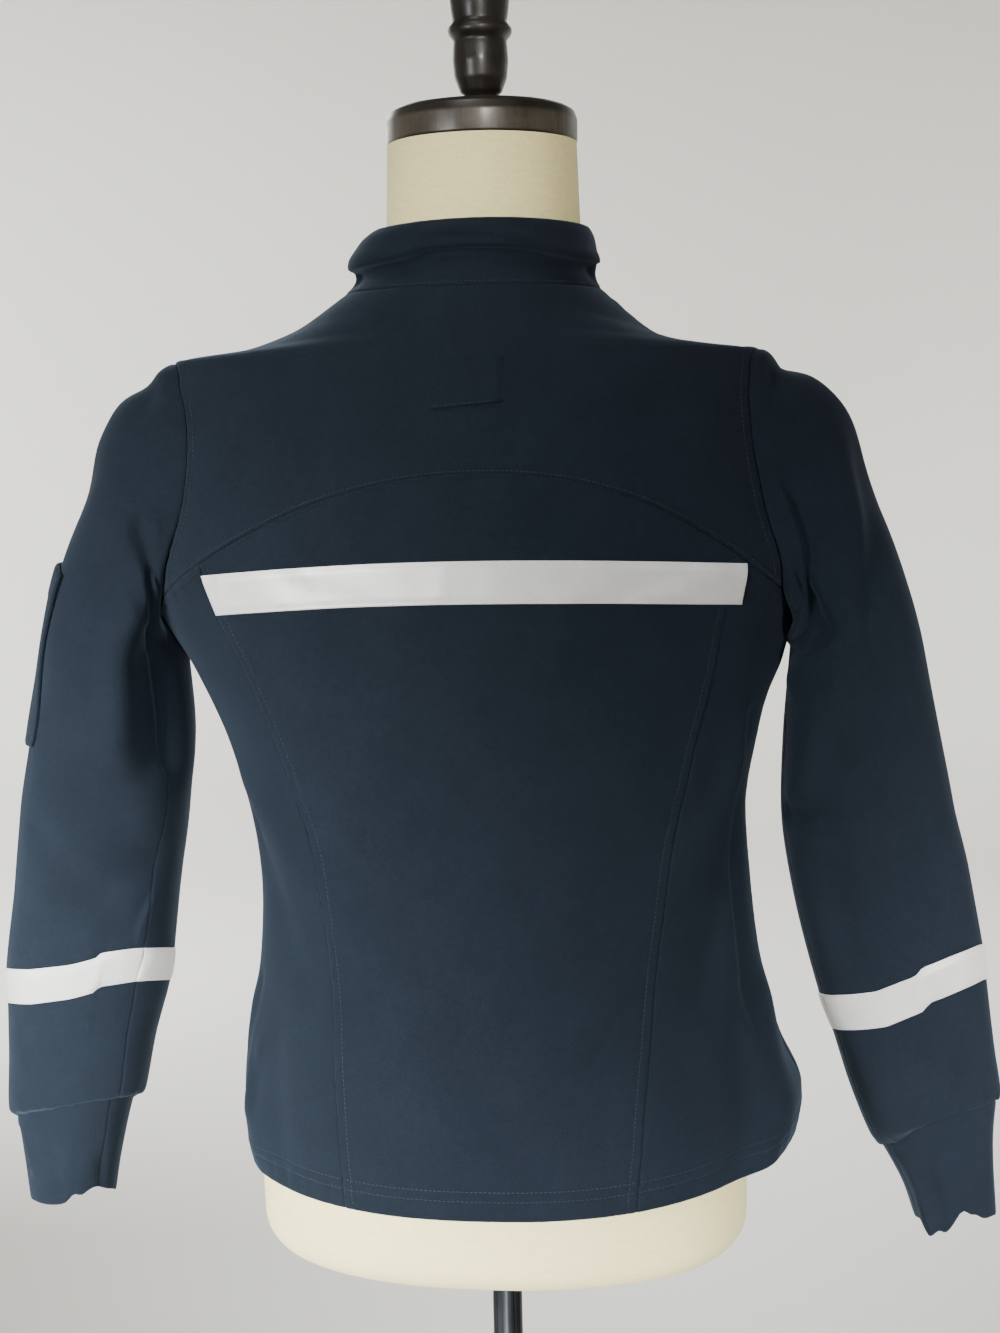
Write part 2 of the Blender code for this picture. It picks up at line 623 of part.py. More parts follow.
def collar_cloth():
    """The collar's grid, its columns those of the right and left edges that it is sewn to."""
    top = len(COLLAR) - 1
    outer, inward = [], []
    for k in range(COLLAR_ROWS + 1):
        level = top * k / COLLAR_ROWS
        row = row_at(COLLAR, level)
        left, right = (angle_at_x(row, side * ZIP_WIDTH / 2, back=False) for side in (1, -1))
        angles = [mix(left, 0, s) for s in FRONT_COLUMNS[:-1]]
        angles += [math.pi * s for s in yoke_shares()]
        angles += [mix(right + 2 * math.pi, math.pi, s) for s in FRONT_COLUMNS[-2::-1]]
        found = [ring_cloth(COLLAR, angle, level) for angle in angles]
        outer.append([p for p, _ in found])
        inward.append([-n * COLLAR_CLOTH for _, n in found])
    return Cloth(np.array(outer), np.array(inward))


def armhole_loop(side):
    """The armhole's outer points and the body's normals there, from the underarm up the back to
    the shoulder tip and down the front, as the panels' own edges have them."""
    arc = [YOKE_END * k / SIDE_ARC_STEPS for k in range(SIDE_ARC_STEPS)]
    arc += [mix(YOKE_END, 1, k / YOKE_ARC_STEPS) for k in range(YOKE_ARC_STEPS)]
    places = [armhole(u, side, True) for u in arc]
    front = [k / FRONT_ARC_STEPS for k in range(FRONT_ARC_STEPS, 0, -1)]
    places += [armhole(u, side, False) for u in front]
    found = [body_cloth(*place) for place in places]
    return np.array([p for p, _ in found]), np.array([n for _, n in found])


def loop_angles(loop):
    """Each point's angle round the sleeve: 0 at the underarm, a half turn at the tip."""
    tip = SIDE_ARC_STEPS + YOKE_ARC_STEPS
    closed = np.concatenate([loop, loop[:1]])
    run = np.concatenate([[0], np.cumsum(np.linalg.norm(np.diff(closed, axis=0), axis=1))])
    back = math.pi * run[: tip + 1] / run[tip]
    front = math.pi + math.pi * (run[tip:-1] - run[tip]) / (run[-1] - run[tip])
    return np.concatenate([back, front[1:]])


def sleeve_ring(row, angles, side, wave=0.0):
    """A ring of points round one section of a sleeve or cuff."""
    lift, pitch = math.radians(row.lift), math.radians(row.pitch)
    out = np.array([side * math.cos(lift), 0, math.sin(lift)])
    back = np.array([0, math.cos(pitch), math.sin(pitch)])
    centre = np.array([side * row.out, row.y, row.z])
    power = 2 / SLEEVE_SQUARE
    points = []
    for a in angles:
        c, s = -math.cos(a), math.sin(a)
        wide = math.copysign(row.wide * abs(c) ** power, c)
        deep = math.copysign(row.deep * abs(s) ** power, s)
        dip = wave * math.sin(2 * a + CUFF_WAVE_START) * math.cos(a - CUFF_WAVE_PEAK)
        points.append(centre + out * wide + back * deep + np.array([0, 0, dip]))
    return np.array(points)


def tube_normals(grid, side):
    """Outward normals of a tube's rings, which run down it, from the points round each one."""
    around = np.roll(grid, -1, axis=1) - np.roll(grid, 1, axis=1)
    along = np.gradient(grid, axis=0)
    normal = np.cross(around, along) * side
    return normal / np.linalg.norm(normal, axis=2, keepdims=True)


def sleeve_cloth(table, side, folds):
    """A sleeve's grid, its rings from the armhole down, with each ring's distance down it, the
    points' angles and the armhole's seam."""
    loop, body_normals = armhole_loop(side)
    angles = loop_angles(loop)
    first = sleeve_ring(table[0], angles, side)
    onward = sleeve_ring(row_at(table, CAP_ONWARD_ROW), angles, side) - first
    onward /= np.linalg.norm(onward, axis=1, keepdims=True)
    height = ((1 - np.cos(angles)) / 2)[:, None]
    leave = mix(np.array(LEAVE_UNDERARM) * (side, 1, 1), np.array(LEAVE_TIP) * (side, 1, 1), height)
    leave /= np.linalg.norm(leave, axis=1, keepdims=True)
    chord = np.linalg.norm(first - loop, axis=1, keepdims=True)
    rings, places = [], []
    for t in CAP_SHARES:
        rings.append(
            loop * (2 * t**3 - 3 * t**2 + 1)
            + leave * chord * CAP_START * (t**3 - 2 * t**2 + t)
            + first * (3 * t**2 - 2 * t**3)
            + onward * chord * CAP_END * (t**3 - t**2)
        )
        places.append(CAP_LENGTH * t)
    for v in SLEEVE_STEPS:
        rings.append(sleeve_ring(row_at(table, v), angles, side))
        places.append(CAP_LENGTH + SECTION_LENGTH * v)
    grid = np.array(rings)
    normals = tube_normals(grid, side)
    for r, place in enumerate(places[:-1]):
        for c, angle in enumerate(angles):
            lift = fold_lift(folds, math.degrees(angle), place, SLEEVE_DEGREE)
            grid[r, c] += normals[r, c] * lift * min(r / FOLDS_START_RINGS, 1.0)
    normals = tube_normals(grid, side)
    inward = -normals * CLOTH
    seam = normals[0] + body_normals
    seam /= np.linalg.norm(seam, axis=1, keepdims=True)
    slant = np.maximum(np.sum(seam * body_normals, axis=1, keepdims=True), SEAM_SLANT_LEAST)
    inward[0] = -seam * CLOTH / slant
    across = np.cross(seam, np.roll(loop, -1, axis=0) - np.roll(loop, 1, axis=0))
    across *= (side / np.sign(across[:, 0]) / np.linalg.norm(across, axis=1))[:, None]
    grid[0] += across * SLEEVE_GAP
    return Cloth(grid, inward), np.array(places), angles, Cloth(loop, inward[0])


def facing_out(cloth, side):
    """A tube's rings with rows running up and columns running to the right, seen from outside."""
    turned = np.s_[::-1, ::-1] if side > 0 else np.s_[::-1]
    return Cloth(cloth.outer[turned], cloth.inward[turned])


def cuff_cloth(table, angles, side):
    last = len(table) - 1
    rings = []
    for k in range(CUFF_ROWS + 1):
        v = last * k / CUFF_ROWS
        rings.append(sleeve_ring(row_at(table, v), angles, side, CUFF_WAVE * (v / last) ** 2))
    grid = np.array(rings)
    grid[0, :, 2] -= SEAM_GAP
    return Cloth(grid, -tube_normals(grid, side) * CUFF_CLOTH)


def spot(grid, row, column):
    """A grid's value at a row and a column that may fall between its own."""
    r = min(int(row), grid.shape[0] - 2)
    c = min(int(column), grid.shape[1] - 2)
    foot = mix(grid[r, c], grid[r, c + 1], column - c)
    head = mix(grid[r + 1, c], grid[r + 1, c + 1], column - c)
    return mix(foot, head, row - r)


def lying_on(cloth, spots, thick):
    """A thin piece on a panel, from a grid of (row, column) places on the panel's own grid."""
    points = np.array([[spot(cloth.outer, r, c) for r, c in line] for line in spots])
    inward = np.array([[spot(cloth.inward, r, c) for r, c in line] for line in spots])
    normals = -inward / np.linalg.norm(inward, axis=2, keepdims=True)
    return Cloth(points + normals * (LIE_GAP + thick), -normals * thick)


def whole_spots(rows, columns):
    return [[(r, c) for c in columns] for r in rows]


def material(kind):
    found = bpy.data.materials.get(kind)
    if found:
        return found
    colour, roughness, metallic = COLOURS[kind]
    made = bpy.data.materials.new(kind)
    made.use_nodes = True
    shader = made.node_tree.nodes["Principled BSDF"]
    shader.inputs["Base Color"].default_value = (*colour, 1)
    shader.inputs["Roughness"].default_value = roughness
    shader.inputs["Metallic"].default_value = metallic
    return made


def add_object(name, points, faces, kind, smooth_angle=40):
    mesh = bpy.data.meshes.new(name)
    mesh.from_pydata([tuple(p) for p in points], [], faces)
    mesh.validate()
    mesh.shade_smooth()
    mesh.set_sharp_from_angle(angle=math.radians(smooth_angle))
    mesh.materials.append(material(kind))
    made = bpy.data.objects.new(name, mesh)
    bpy.context.scene.collection.objects.link(made)
    return made


def wall(name, cloth, kind, ring=False):
    """A closed wall from a grid of outer points [row][column] and its inward vectors. Seen from
    outside, rows run up and columns run to the right. A ring's columns close on themselves."""
    outer, inner = cloth.outer, cloth.outer + cloth.inward
    rows, columns = outer.shape[:2]
    count = rows * columns
    points = np.concatenate([outer.reshape(-1, 3), inner.reshape(-1, 3)])
    faces = []

    def at(r, c):
        return r * columns + c % columns

    def quad(a, b, c, d):
        one, other = np.linalg.norm(points[[a, b]] - points[[c, d]], axis=1)
        if one <= other:
            faces.extend([(a, b, c), (a, c, d)])
        else:
            faces.extend([(a, b, d), (b, c, d)])

    last = columns if ring else columns - 1
    for r in range(rows - 1):
        for c in range(last):
            a, b, d, e = at(r, c), at(r, c + 1), at(r + 1, c + 1), at(r + 1, c)
            faces.extend([(a, b, d), (a, d, e)])
            faces.extend([(count + a, count + d, count + b), (count + a, count + e, count + d)])
    for c in range(last):
        a, b = at(0, c), at(0, c + 1)
        quad(a, count + a, count + b, b)
        a, b = at(rows - 1, c), at(rows - 1, c + 1)
        quad(b, count + b, count + a, a)
    if not ring:
        for r in range(rows - 1):
            a, b = at(r, 0), at(r + 1, 0)
            quad(b, count + b, count + a, a)
            a, b = at(r, columns - 1), at(r + 1, columns - 1)
            quad(a, count + a, count + b, b)
    return add_object(name, points, faces, kind)


def lattice(name, cuts, cells, kind, origin=(0, 0, 0)):
    """A blocky solid from three lists of cuts and the cells between them that are filled."""
    filled = set(cells)
    points, faces = {}, []
    for cell in sorted(filled):
        for axis in range(3):
            for step in (0, 1):
                beside = list(cell)
                beside[axis] += 2 * step - 1
                if tuple(beside) in filled:
                    continue
                b, c = (axis + 1) % 3, (axis + 2) % 3
                corners = []
                for u, v in ((0, 0), (1, 0), (1, 1), (0, 1)):
                    key = list(cell)
                    key[axis] += step
                    key[b] += u
                    key[c] += v
                    corners.append(points.setdefault(tuple(key), len(points)))
                faces.append(tuple(corners if step else corners[::-1]))
    places = [[cuts[axis][key[axis]] - origin[axis] for axis in range(3)] for key in points]
    made = add_object(name, places, faces, kind)
    made.location = origin
    return made


def make_sleeve(word, side, table, cuff_table, folds):
    cloth, places, angles, seam = sleeve_cloth(table, side, folds)
    facing = facing_out(cloth, side)
    wall(f"sleeve_{word}", facing, "cloth", ring=True)
    rings = [len(CAP_SHARES) + SLEEVE_STEPS.index(v) for v in TAPE_SECTIONS]
    last = len(places) - 1
    rows = [last - r for r in reversed(rings)]
    tape = lying_on(facing, whole_spots(rows, range(len(angles))), TAPE_THICK)
    wall(f"sleeve_tape_{word}", tape, "tape", ring=True)
    wall(f"cuff_{word}", facing_out(cuff_cloth(cuff_table, angles, side), side), "cloth", ring=True)
    return facing, places, angles, seam


def make_pocket(facing, places, angles):
    """The patch pocket on the outer side of the left upper arm, laid on the sleeve's points."""
    degrees = np.degrees(angles)[::-1]
    columns = [i for i, a in enumerate(degrees) if POCKET_ARC[0] <= a <= POCKET_ARC[1]]
    last = len(places) - 1
    foot = last - len(CAP_SHARES) - SLEEVE_STEPS.index(POCKET_FOOT)
    rows = list(range(foot, last - CAP_SHARES.index(POCKET_TOP) + 1))
    pocket = lying_on(facing, whole_spots(rows, columns), POCKET_THICK)
    wall("sleeve_pocket", pocket, "cloth")


def make_back_tape(middle):
    """Tape across the middle back panel, on the panel's own two rows."""
    rows = [len(LOW_LEVELS), len(LOW_LEVELS) + 1]
    spots = whole_spots(rows, range(middle.outer.shape[1]))
    wall("back_tape", lying_on(middle, spots, TAPE_THICK), "tape")


def make_patch(yoke):
    """The small self-cloth patch sewn flat below the collar."""
    centre = yoke.outer.shape[1] // 2
    heights = yoke.outer[:, centre, 2]
    low, high = np.interp(PATCH_HEIGHTS, heights, np.arange(len(heights)))
    rows = [low] + [r for r in range(len(heights)) if low < r < high] + [high]
    spots = []
    for r in rows:
        line = [spot(yoke.outer, r, c)[0] for c in range(yoke.outer.shape[1])]
        ends = [float(np.interp(-x, -np.array(line), np.arange(len(line)))) for x in PATCH_SIDES]
        spots.append([(r, c) for c in (ends[0], centre, ends[1])])
    wall("back_patch", lying_on(yoke, spots, PATCH_THICK), "cloth")


def make_zip():
    """The closed chain between the fronts, up to the collar's upper edge."""
    found = [body_cloth(-math.pi / 2, level) for _, level in front_rows(1)]
    top = len(COLLAR) - 1
    levels = [top * k / COLLAR_ROWS for k in range(1, COLLAR_ROWS + 1)]
    found += [ring_cloth(COLLAR, -math.pi / 2, level) for level in levels]
    half = np.array([ZIP_WIDTH / 2 - SEAM_GAP / 2, 0, 0])
    outer = np.array([[p - half, p + half] for p, _ in found])
    inward = np.array([[-n * ZIP_THICK] * 2 for _, n in found])
    wall("zip_chain", Cloth(outer, inward), "zip")
    return outer[:, 0]


def make_slider(line):
    """The slider on the chain, with a bridge that holds the pull tab's eye, and the tab."""
    rest = float(np.interp(SLIDER_Z - SLIDER_HIGH / 2, line[:, 2], line[:, 1])) - SLIDER_FIT
    face = rest - SLIDER_DEEP
    under = face - BRIDGE_CLEAR
    cuts = (
        (-SLIDER_WIDE / 2, -BRIDGE_WIDE / 2, BRIDGE_WIDE / 2, SLIDER_WIDE / 2),
        (under - BRIDGE_BAR, under, face, rest),
        [SLIDER_Z + z for z in (-SLIDER_HIGH / 2, -BRIDGE_HIGH / 2, BRIDGE_BAR - BRIDGE_HIGH / 2)]
        + [SLIDER_Z + z for z in (BRIDGE_HIGH / 2 - BRIDGE_BAR, BRIDGE_HIGH / 2, SLIDER_HIGH / 2)],
    )
    body = [(x, 2, z) for x in range(3) for z in range(5)]
    bridge = [(1, 1, 1), (1, 1, 3), (1, 0, 1), (1, 0, 2), (1, 0, 3)]
    lattice("zip_slider", cuts, body + bridge, "zip_metal")
    bar = PULL_THICK
    axis = (0, face - BRIDGE_CLEAR / 2, SLIDER_Z)
    eye = BRIDGE_WIDE / 2 + PULL_FIT
    foot = SLIDER_Z + bar / 2 - PULL_LONG
    cuts = (
        (-PULL_WIDE / 2, -eye, eye, PULL_WIDE / 2),
        (axis[1] - bar / 2, axis[1] + bar / 2),
        (foot, SLIDER_Z - PULL_EYE, SLIDER_Z - bar / 2, SLIDER_Z + bar / 2),
    )
    tab = [(x, 0, 0) for x in range(3)] + [(0, 0, 1), (2, 0, 1)] + [(x, 0, 2) for x in range(3)]
    lattice("zip_pull", cuts, tab, "zip_metal", origin=axis)


def lathe(name, profile, segments, kind):
    """A turned solid about the vertical axis. The profile starts and ends on the axis."""
    turns = [2 * math.pi * k / segments for k in range(segments)]
    rings = [[(r * math.cos(a), r * math.sin(a), z) for a in turns] for r, z in profile[1:-1]]
    return ring_solid(name, rings, profile[0][1], profile[-1][1], kind)


def ring_solid(name, rings, foot_z, head_z, kind):
    """A solid through rings of points that run to the left round the axis, closed by a point on
    the axis at each end."""
    count = len(rings[0])
    points = [(0, 0, foot_z)] + [tuple(p) for ring in rings for p in ring] + [(0, 0, head_z)]
    head = len(points) - 1
    faces = []
    for k in range(count):
        n = (k + 1) % count
        faces.append((0, 1 + n, 1 + k))
        for r in range(len(rings) - 1):
            a, b = 1 + r * count, 1 + (r + 1) * count
            faces.append((a + k, a + n, b + n, b + k))
        last = 1 + (len(rings) - 1) * count
        faces.append((last + k, last + n, head))
    return add_object(name, points, faces, kind)


def both_sides(row):
    """The form's row as a level whose left and right sides are alike."""
    heights = (row.z_side, row.z_side, row.z_back, row.z_front)
    return Level("", *heights, row.wide, row.wide, row.back, row.front, row.square)


def make_form():
    """The covered torso, with a blind socket for the pole in its flat underside."""
    turns = [2 * math.pi * k / FORM_SEGMENTS for k in range(FORM_SEGMENTS)]
    socket = POLE_RADIUS + POLE_FIT
    rings = []
    for z in (FORM_SOCKET_TOP, FORM[0].z_side):
        rings.append([(socket * math.cos(a), socket * math.sin(a), z) for a in turns])
    rings += [[section_point(both_sides(row), a) for a in turns] for row in FORM]
    ring_solid("form_torso", rings, FORM_SOCKET_TOP, FORM[-1].z_back, "form")


def make_stand():
    lathe("form_cap", CAP_PROFILE, FORM_CAP_SEGMENTS, "wood")
    lathe("form_finial", FINIAL_PROFILE, FINIAL_SEGMENTS, "wood")
    lathe("stand_base", BASE_PROFILE, BASE_SEGMENTS, "base")
    foot = BASE_SOCKET_FOOT + POLE_FIT
    head = FORM_SOCKET_TOP - POLE_FIT
    pole = [(0, foot), (POLE_RADIUS, foot), (POLE_RADIUS, head), (0, head)]
    lathe("stand_pole", pole, POLE_SEGMENTS, "pole")


def make_panels(armholes):
    """The body's panels, each drawn back from its seams."""
    middle = body_panel(middle_back_places(), ("head", "start", "end"), armholes)
    wall("back_middle", middle, "cloth")
    make_back_tape(middle)
    yoke = body_panel(yoke_places(), ("foot", "head", "start", "end"), armholes)
    draw_back(yoke, ("foot",), YOKE_SPARE)
    wall("back_yoke", yoke, "cloth")
    make_patch(yoke)
    for word, side in (("left", 1), ("right", -1)):
        for name, places in (("back_side", side_back_places), ("front", front_places)):
            rows = places(side)
            if side < 0:
                rows = [row[::-1] for row in rows]
            panel = body_panel(rows, ("head", "start", "end"), armholes)
            wall(f"{name}_{word}", panel, "cloth")


def make_jacket():
    left = make_sleeve("left", 1, SLEEVE_LEFT, CUFF_LEFT, LEFT_FOLDS)
    right = make_sleeve("right", -1, SLEEVE_RIGHT, CUFF_RIGHT, RIGHT_FOLDS)
    make_pocket(*left[:3])
    make_panels((left[3], right[3]))
    collar = collar_cloth()
    draw_back(collar, ("foot", "start", "end"))
    wall("collar", collar, "cloth")
    make_slider(make_zip())


def main():
    for old in list(bpy.data.objects):
        bpy.data.objects.remove(old)
    make_form()
    make_stand()
    make_jacket()


main()
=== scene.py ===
"""Looks of the fleece jacket on its dress form: fine cloth, sewing, tape, zip, form, stand, light.

Metres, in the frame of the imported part: +Z up, the wearer's left is +X and the back is +Y.
"""

import json
import math
from collections import namedtuple

import bpy
import numpy as np
from mathutils import Matrix, Vector
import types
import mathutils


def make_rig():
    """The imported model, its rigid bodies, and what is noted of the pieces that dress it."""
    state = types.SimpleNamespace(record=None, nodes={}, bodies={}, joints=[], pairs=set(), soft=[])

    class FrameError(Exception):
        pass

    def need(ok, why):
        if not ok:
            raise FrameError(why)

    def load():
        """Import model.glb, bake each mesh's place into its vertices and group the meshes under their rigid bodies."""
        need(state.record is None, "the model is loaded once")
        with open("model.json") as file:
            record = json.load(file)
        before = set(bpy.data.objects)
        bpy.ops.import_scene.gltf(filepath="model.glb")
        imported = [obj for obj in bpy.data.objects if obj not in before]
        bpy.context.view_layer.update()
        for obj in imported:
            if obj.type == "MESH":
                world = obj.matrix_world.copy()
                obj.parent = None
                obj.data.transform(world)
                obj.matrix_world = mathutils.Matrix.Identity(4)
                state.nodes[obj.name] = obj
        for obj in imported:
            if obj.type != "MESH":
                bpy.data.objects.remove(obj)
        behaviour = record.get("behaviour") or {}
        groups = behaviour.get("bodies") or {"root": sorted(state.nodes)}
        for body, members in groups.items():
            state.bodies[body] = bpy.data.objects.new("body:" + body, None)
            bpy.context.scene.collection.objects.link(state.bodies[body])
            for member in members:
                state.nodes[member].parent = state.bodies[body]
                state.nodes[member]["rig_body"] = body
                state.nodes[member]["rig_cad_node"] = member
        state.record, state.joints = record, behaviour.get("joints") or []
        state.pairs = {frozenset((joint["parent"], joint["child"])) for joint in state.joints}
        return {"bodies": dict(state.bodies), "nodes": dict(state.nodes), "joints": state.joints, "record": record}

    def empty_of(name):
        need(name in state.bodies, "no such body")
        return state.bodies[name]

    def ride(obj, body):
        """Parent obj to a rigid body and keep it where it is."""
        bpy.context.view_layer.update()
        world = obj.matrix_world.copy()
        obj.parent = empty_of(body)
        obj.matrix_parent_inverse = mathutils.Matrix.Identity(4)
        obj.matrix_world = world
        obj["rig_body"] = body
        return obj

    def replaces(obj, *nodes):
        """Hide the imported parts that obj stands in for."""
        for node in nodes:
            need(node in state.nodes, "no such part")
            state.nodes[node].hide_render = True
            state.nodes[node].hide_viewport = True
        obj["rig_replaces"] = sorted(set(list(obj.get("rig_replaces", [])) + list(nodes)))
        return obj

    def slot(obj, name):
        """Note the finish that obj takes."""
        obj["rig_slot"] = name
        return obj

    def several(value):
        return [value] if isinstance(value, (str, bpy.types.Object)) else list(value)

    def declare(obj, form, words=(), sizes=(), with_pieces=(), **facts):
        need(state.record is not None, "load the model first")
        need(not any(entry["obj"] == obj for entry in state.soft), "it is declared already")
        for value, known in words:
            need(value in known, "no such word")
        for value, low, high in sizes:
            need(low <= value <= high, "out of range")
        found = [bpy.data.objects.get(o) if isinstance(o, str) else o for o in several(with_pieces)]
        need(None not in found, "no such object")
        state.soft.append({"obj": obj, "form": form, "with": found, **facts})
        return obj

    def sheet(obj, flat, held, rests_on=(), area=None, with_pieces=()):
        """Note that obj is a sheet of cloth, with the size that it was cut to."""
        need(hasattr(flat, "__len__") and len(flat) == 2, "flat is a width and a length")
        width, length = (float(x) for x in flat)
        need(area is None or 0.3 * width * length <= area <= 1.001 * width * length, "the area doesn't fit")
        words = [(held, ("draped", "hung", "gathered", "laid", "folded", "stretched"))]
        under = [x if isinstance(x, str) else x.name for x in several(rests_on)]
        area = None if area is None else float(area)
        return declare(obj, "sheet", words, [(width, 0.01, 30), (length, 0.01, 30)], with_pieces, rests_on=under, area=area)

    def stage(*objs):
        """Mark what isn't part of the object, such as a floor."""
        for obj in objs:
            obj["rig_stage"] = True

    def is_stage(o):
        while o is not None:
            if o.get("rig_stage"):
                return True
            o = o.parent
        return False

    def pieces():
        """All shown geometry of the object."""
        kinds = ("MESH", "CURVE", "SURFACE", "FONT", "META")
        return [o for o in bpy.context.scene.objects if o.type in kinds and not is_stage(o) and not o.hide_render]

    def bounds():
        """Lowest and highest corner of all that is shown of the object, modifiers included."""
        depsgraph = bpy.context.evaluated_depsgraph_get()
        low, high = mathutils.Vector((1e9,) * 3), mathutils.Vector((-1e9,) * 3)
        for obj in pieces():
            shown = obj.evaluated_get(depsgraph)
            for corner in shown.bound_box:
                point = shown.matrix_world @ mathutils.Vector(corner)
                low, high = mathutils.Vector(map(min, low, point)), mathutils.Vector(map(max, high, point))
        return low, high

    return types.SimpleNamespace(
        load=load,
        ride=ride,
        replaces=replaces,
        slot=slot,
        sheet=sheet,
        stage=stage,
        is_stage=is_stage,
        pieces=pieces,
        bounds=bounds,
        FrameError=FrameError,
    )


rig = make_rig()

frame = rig.load()
CAD_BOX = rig.bounds()
JACKET = "jacket_on_form"
PULL_TAB = "pull_tab"

# How thick the cloth is, what lies on it, and how far that lies from it. Tape, patch and pocket are a
# little thinner than their solids and closer to the cloth, so that no gap shows.
CLOTH = 0.002
CUFF_CLOTH = 0.003
COLLAR_CLOTH = 0.003
TAPE_THICK = 0.0005
PATCH_THICK = 0.00072
POCKET_THICK = 0.0028
LIE_GAP = 0.0001
ZIP_WIDTH = 0.0062

# One row for each level of the jacket's body, from hem to neck: the height at the wearer's left,
# right, back and front, how far the cloth stands from the middle plane on each side, and how
# square the section is (2 is an ellipse). Between underarm and shoulder tip the left and right
# reach lies out in the armhole, where no body cloth is.
Level = namedtuple("Level", "name z_left z_right z_back z_front left right back front square")
BODY = (
    Level("hem", 0.824, 0.842, 0.8175, 0.836, 0.166, 0.192, 0.113, 0.112, 2.3),
    Level("hip", 0.855, 0.866, 0.855, 0.864, 0.1690, 0.1955, 0.117, 0.113, 2.3),
    Level("high hip", 0.900, 0.900, 0.900, 0.900, 0.1645, 0.1815, 0.116, 0.109, 2.3),
    Level("below waist", 0.950, 0.950, 0.950, 0.950, 0.1565, 0.1690, 0.108, 0.103, 2.25),
    Level("waist", 1.000, 1.000, 1.000, 1.000, 0.1540, 0.1630, 0.099, 0.102, 2.2),
    Level("above waist", 1.050, 1.050, 1.050, 1.050, 0.1600, 0.1600, 0.095, 0.107, 2.2),
    Level("ribs", 1.100, 1.100, 1.100, 1.100, 0.1735, 0.1680, 0.097, 0.118, 2.15),
    Level("bust", 1.145, 1.145, 1.145, 1.145, 0.1940, 0.1795, 0.103, 0.127, 2.05),
    Level("underarm", 1.182, 1.182, 1.182, 1.182, 0.2150, 0.1900, 0.107, 0.128, 2.0),
    Level("chest", 1.215, 1.215, 1.215, 1.212, 0.2240, 0.2040, 0.107, 0.124, 2.05),
    Level("blades", 1.250, 1.250, 1.250, 1.243, 0.2200, 0.2020, 0.103, 0.117, 2.1),
    Level("upper back", 1.290, 1.290, 1.290, 1.272, 0.2130, 0.1930, 0.096, 0.106, 2.2),
    Level("shoulder end", 1.320, 1.320, 1.322, 1.293, 0.2060, 0.1800, 0.088, 0.096, 2.3),
    Level("shoulder tip", 1.337, 1.337, 1.341, 1.306, 0.1980, 0.1700, 0.081, 0.088, 2.2),
    Level("outer shoulder", 1.3410, 1.3385, 1.353, 1.313, 0.1620, 0.1430, 0.075, 0.083, 2.0),
    Level("inner shoulder", 1.3520, 1.3470, 1.365, 1.320, 0.1260, 0.1090, 0.070, 0.079, 2.0),
    Level("neck", 1.3765, 1.3765, 1.3765, 1.330, 0.0870, 0.0715, 0.0675, 0.0750, 2.0),
)
BUST = 7
UNDERARM = 8
TIP = 13
NECK = 16

# The collar's rings, from its seam to its upper edge, with the same columns
COLLAR = (
    Level("seam", 1.3765, 1.3765, 1.3765, 1.330, 0.0870, 0.0715, 0.0675, 0.0750, 2.0),
    Level("roll", 1.3860, 1.3860, 1.3870, 1.341, 0.0805, 0.0690, 0.0662, 0.0735, 2.0),
    Level("fold", 1.3965, 1.3965, 1.3985, 1.353, 0.0830, 0.0705, 0.0692, 0.0725, 2.0),
    Level("stand", 1.4070, 1.4070, 1.4090, 1.365, 0.0775, 0.0690, 0.0685, 0.0705, 2.0),
    Level("top edge", 1.4140, 1.4140, 1.4155, 1.376, 0.0690, 0.0660, 0.0655, 0.0685, 2.0),
)

# The armhole is an upright egg around the shoulder end: half its breadth to the back and the front,
# how round it is, and how far up its back the yoke's seam ends
ARMHOLE_BACK = 0.060
ARMHOLE_FRONT = 0.056
ARMHOLE_ROUND = 0.6
YOKE_END = 0.163

# The curved yoke seam: its height at the centre back, how it falls to the armholes, and how far from
# the centre the shaping seams meet it
YOKE_TOP = 1.2665
YOKE_FALL_LEFT = 2.05
YOKE_FALL_RIGHT = 2.4
PRINCESS_TOP_LEFT = 0.171
PRINCESS_TOP_RIGHT = 0.159

# The seams that shape the back, as the distance from the centre back at a few heights
Princess = namedtuple("Princess", "z left right")
PRINCESS = (
    Princess(0.82, 0.0885, 0.0905),
    Princess(0.86, 0.0905, 0.0945),
    Princess(0.95, 0.0940, 0.1020),
    Princess(1.02, 0.1020, 0.1100),
    Princess(1.08, 0.1200, 0.1230),
    Princess(1.145, 0.1440, 0.1400),
)

# Reflective tape: one inch wide, the height of its lower edge on the centre back, how far that droops
# to the shaping seams, and by how much of its length it is cut longer at its foot
TAPE_WIDTH = 0.0254
TAPE_LOW = 1.1915
TAPE_DROOP_LEFT = 0.0095
TAPE_DROOP_RIGHT = 0.0065
TAPE_END = 0.036

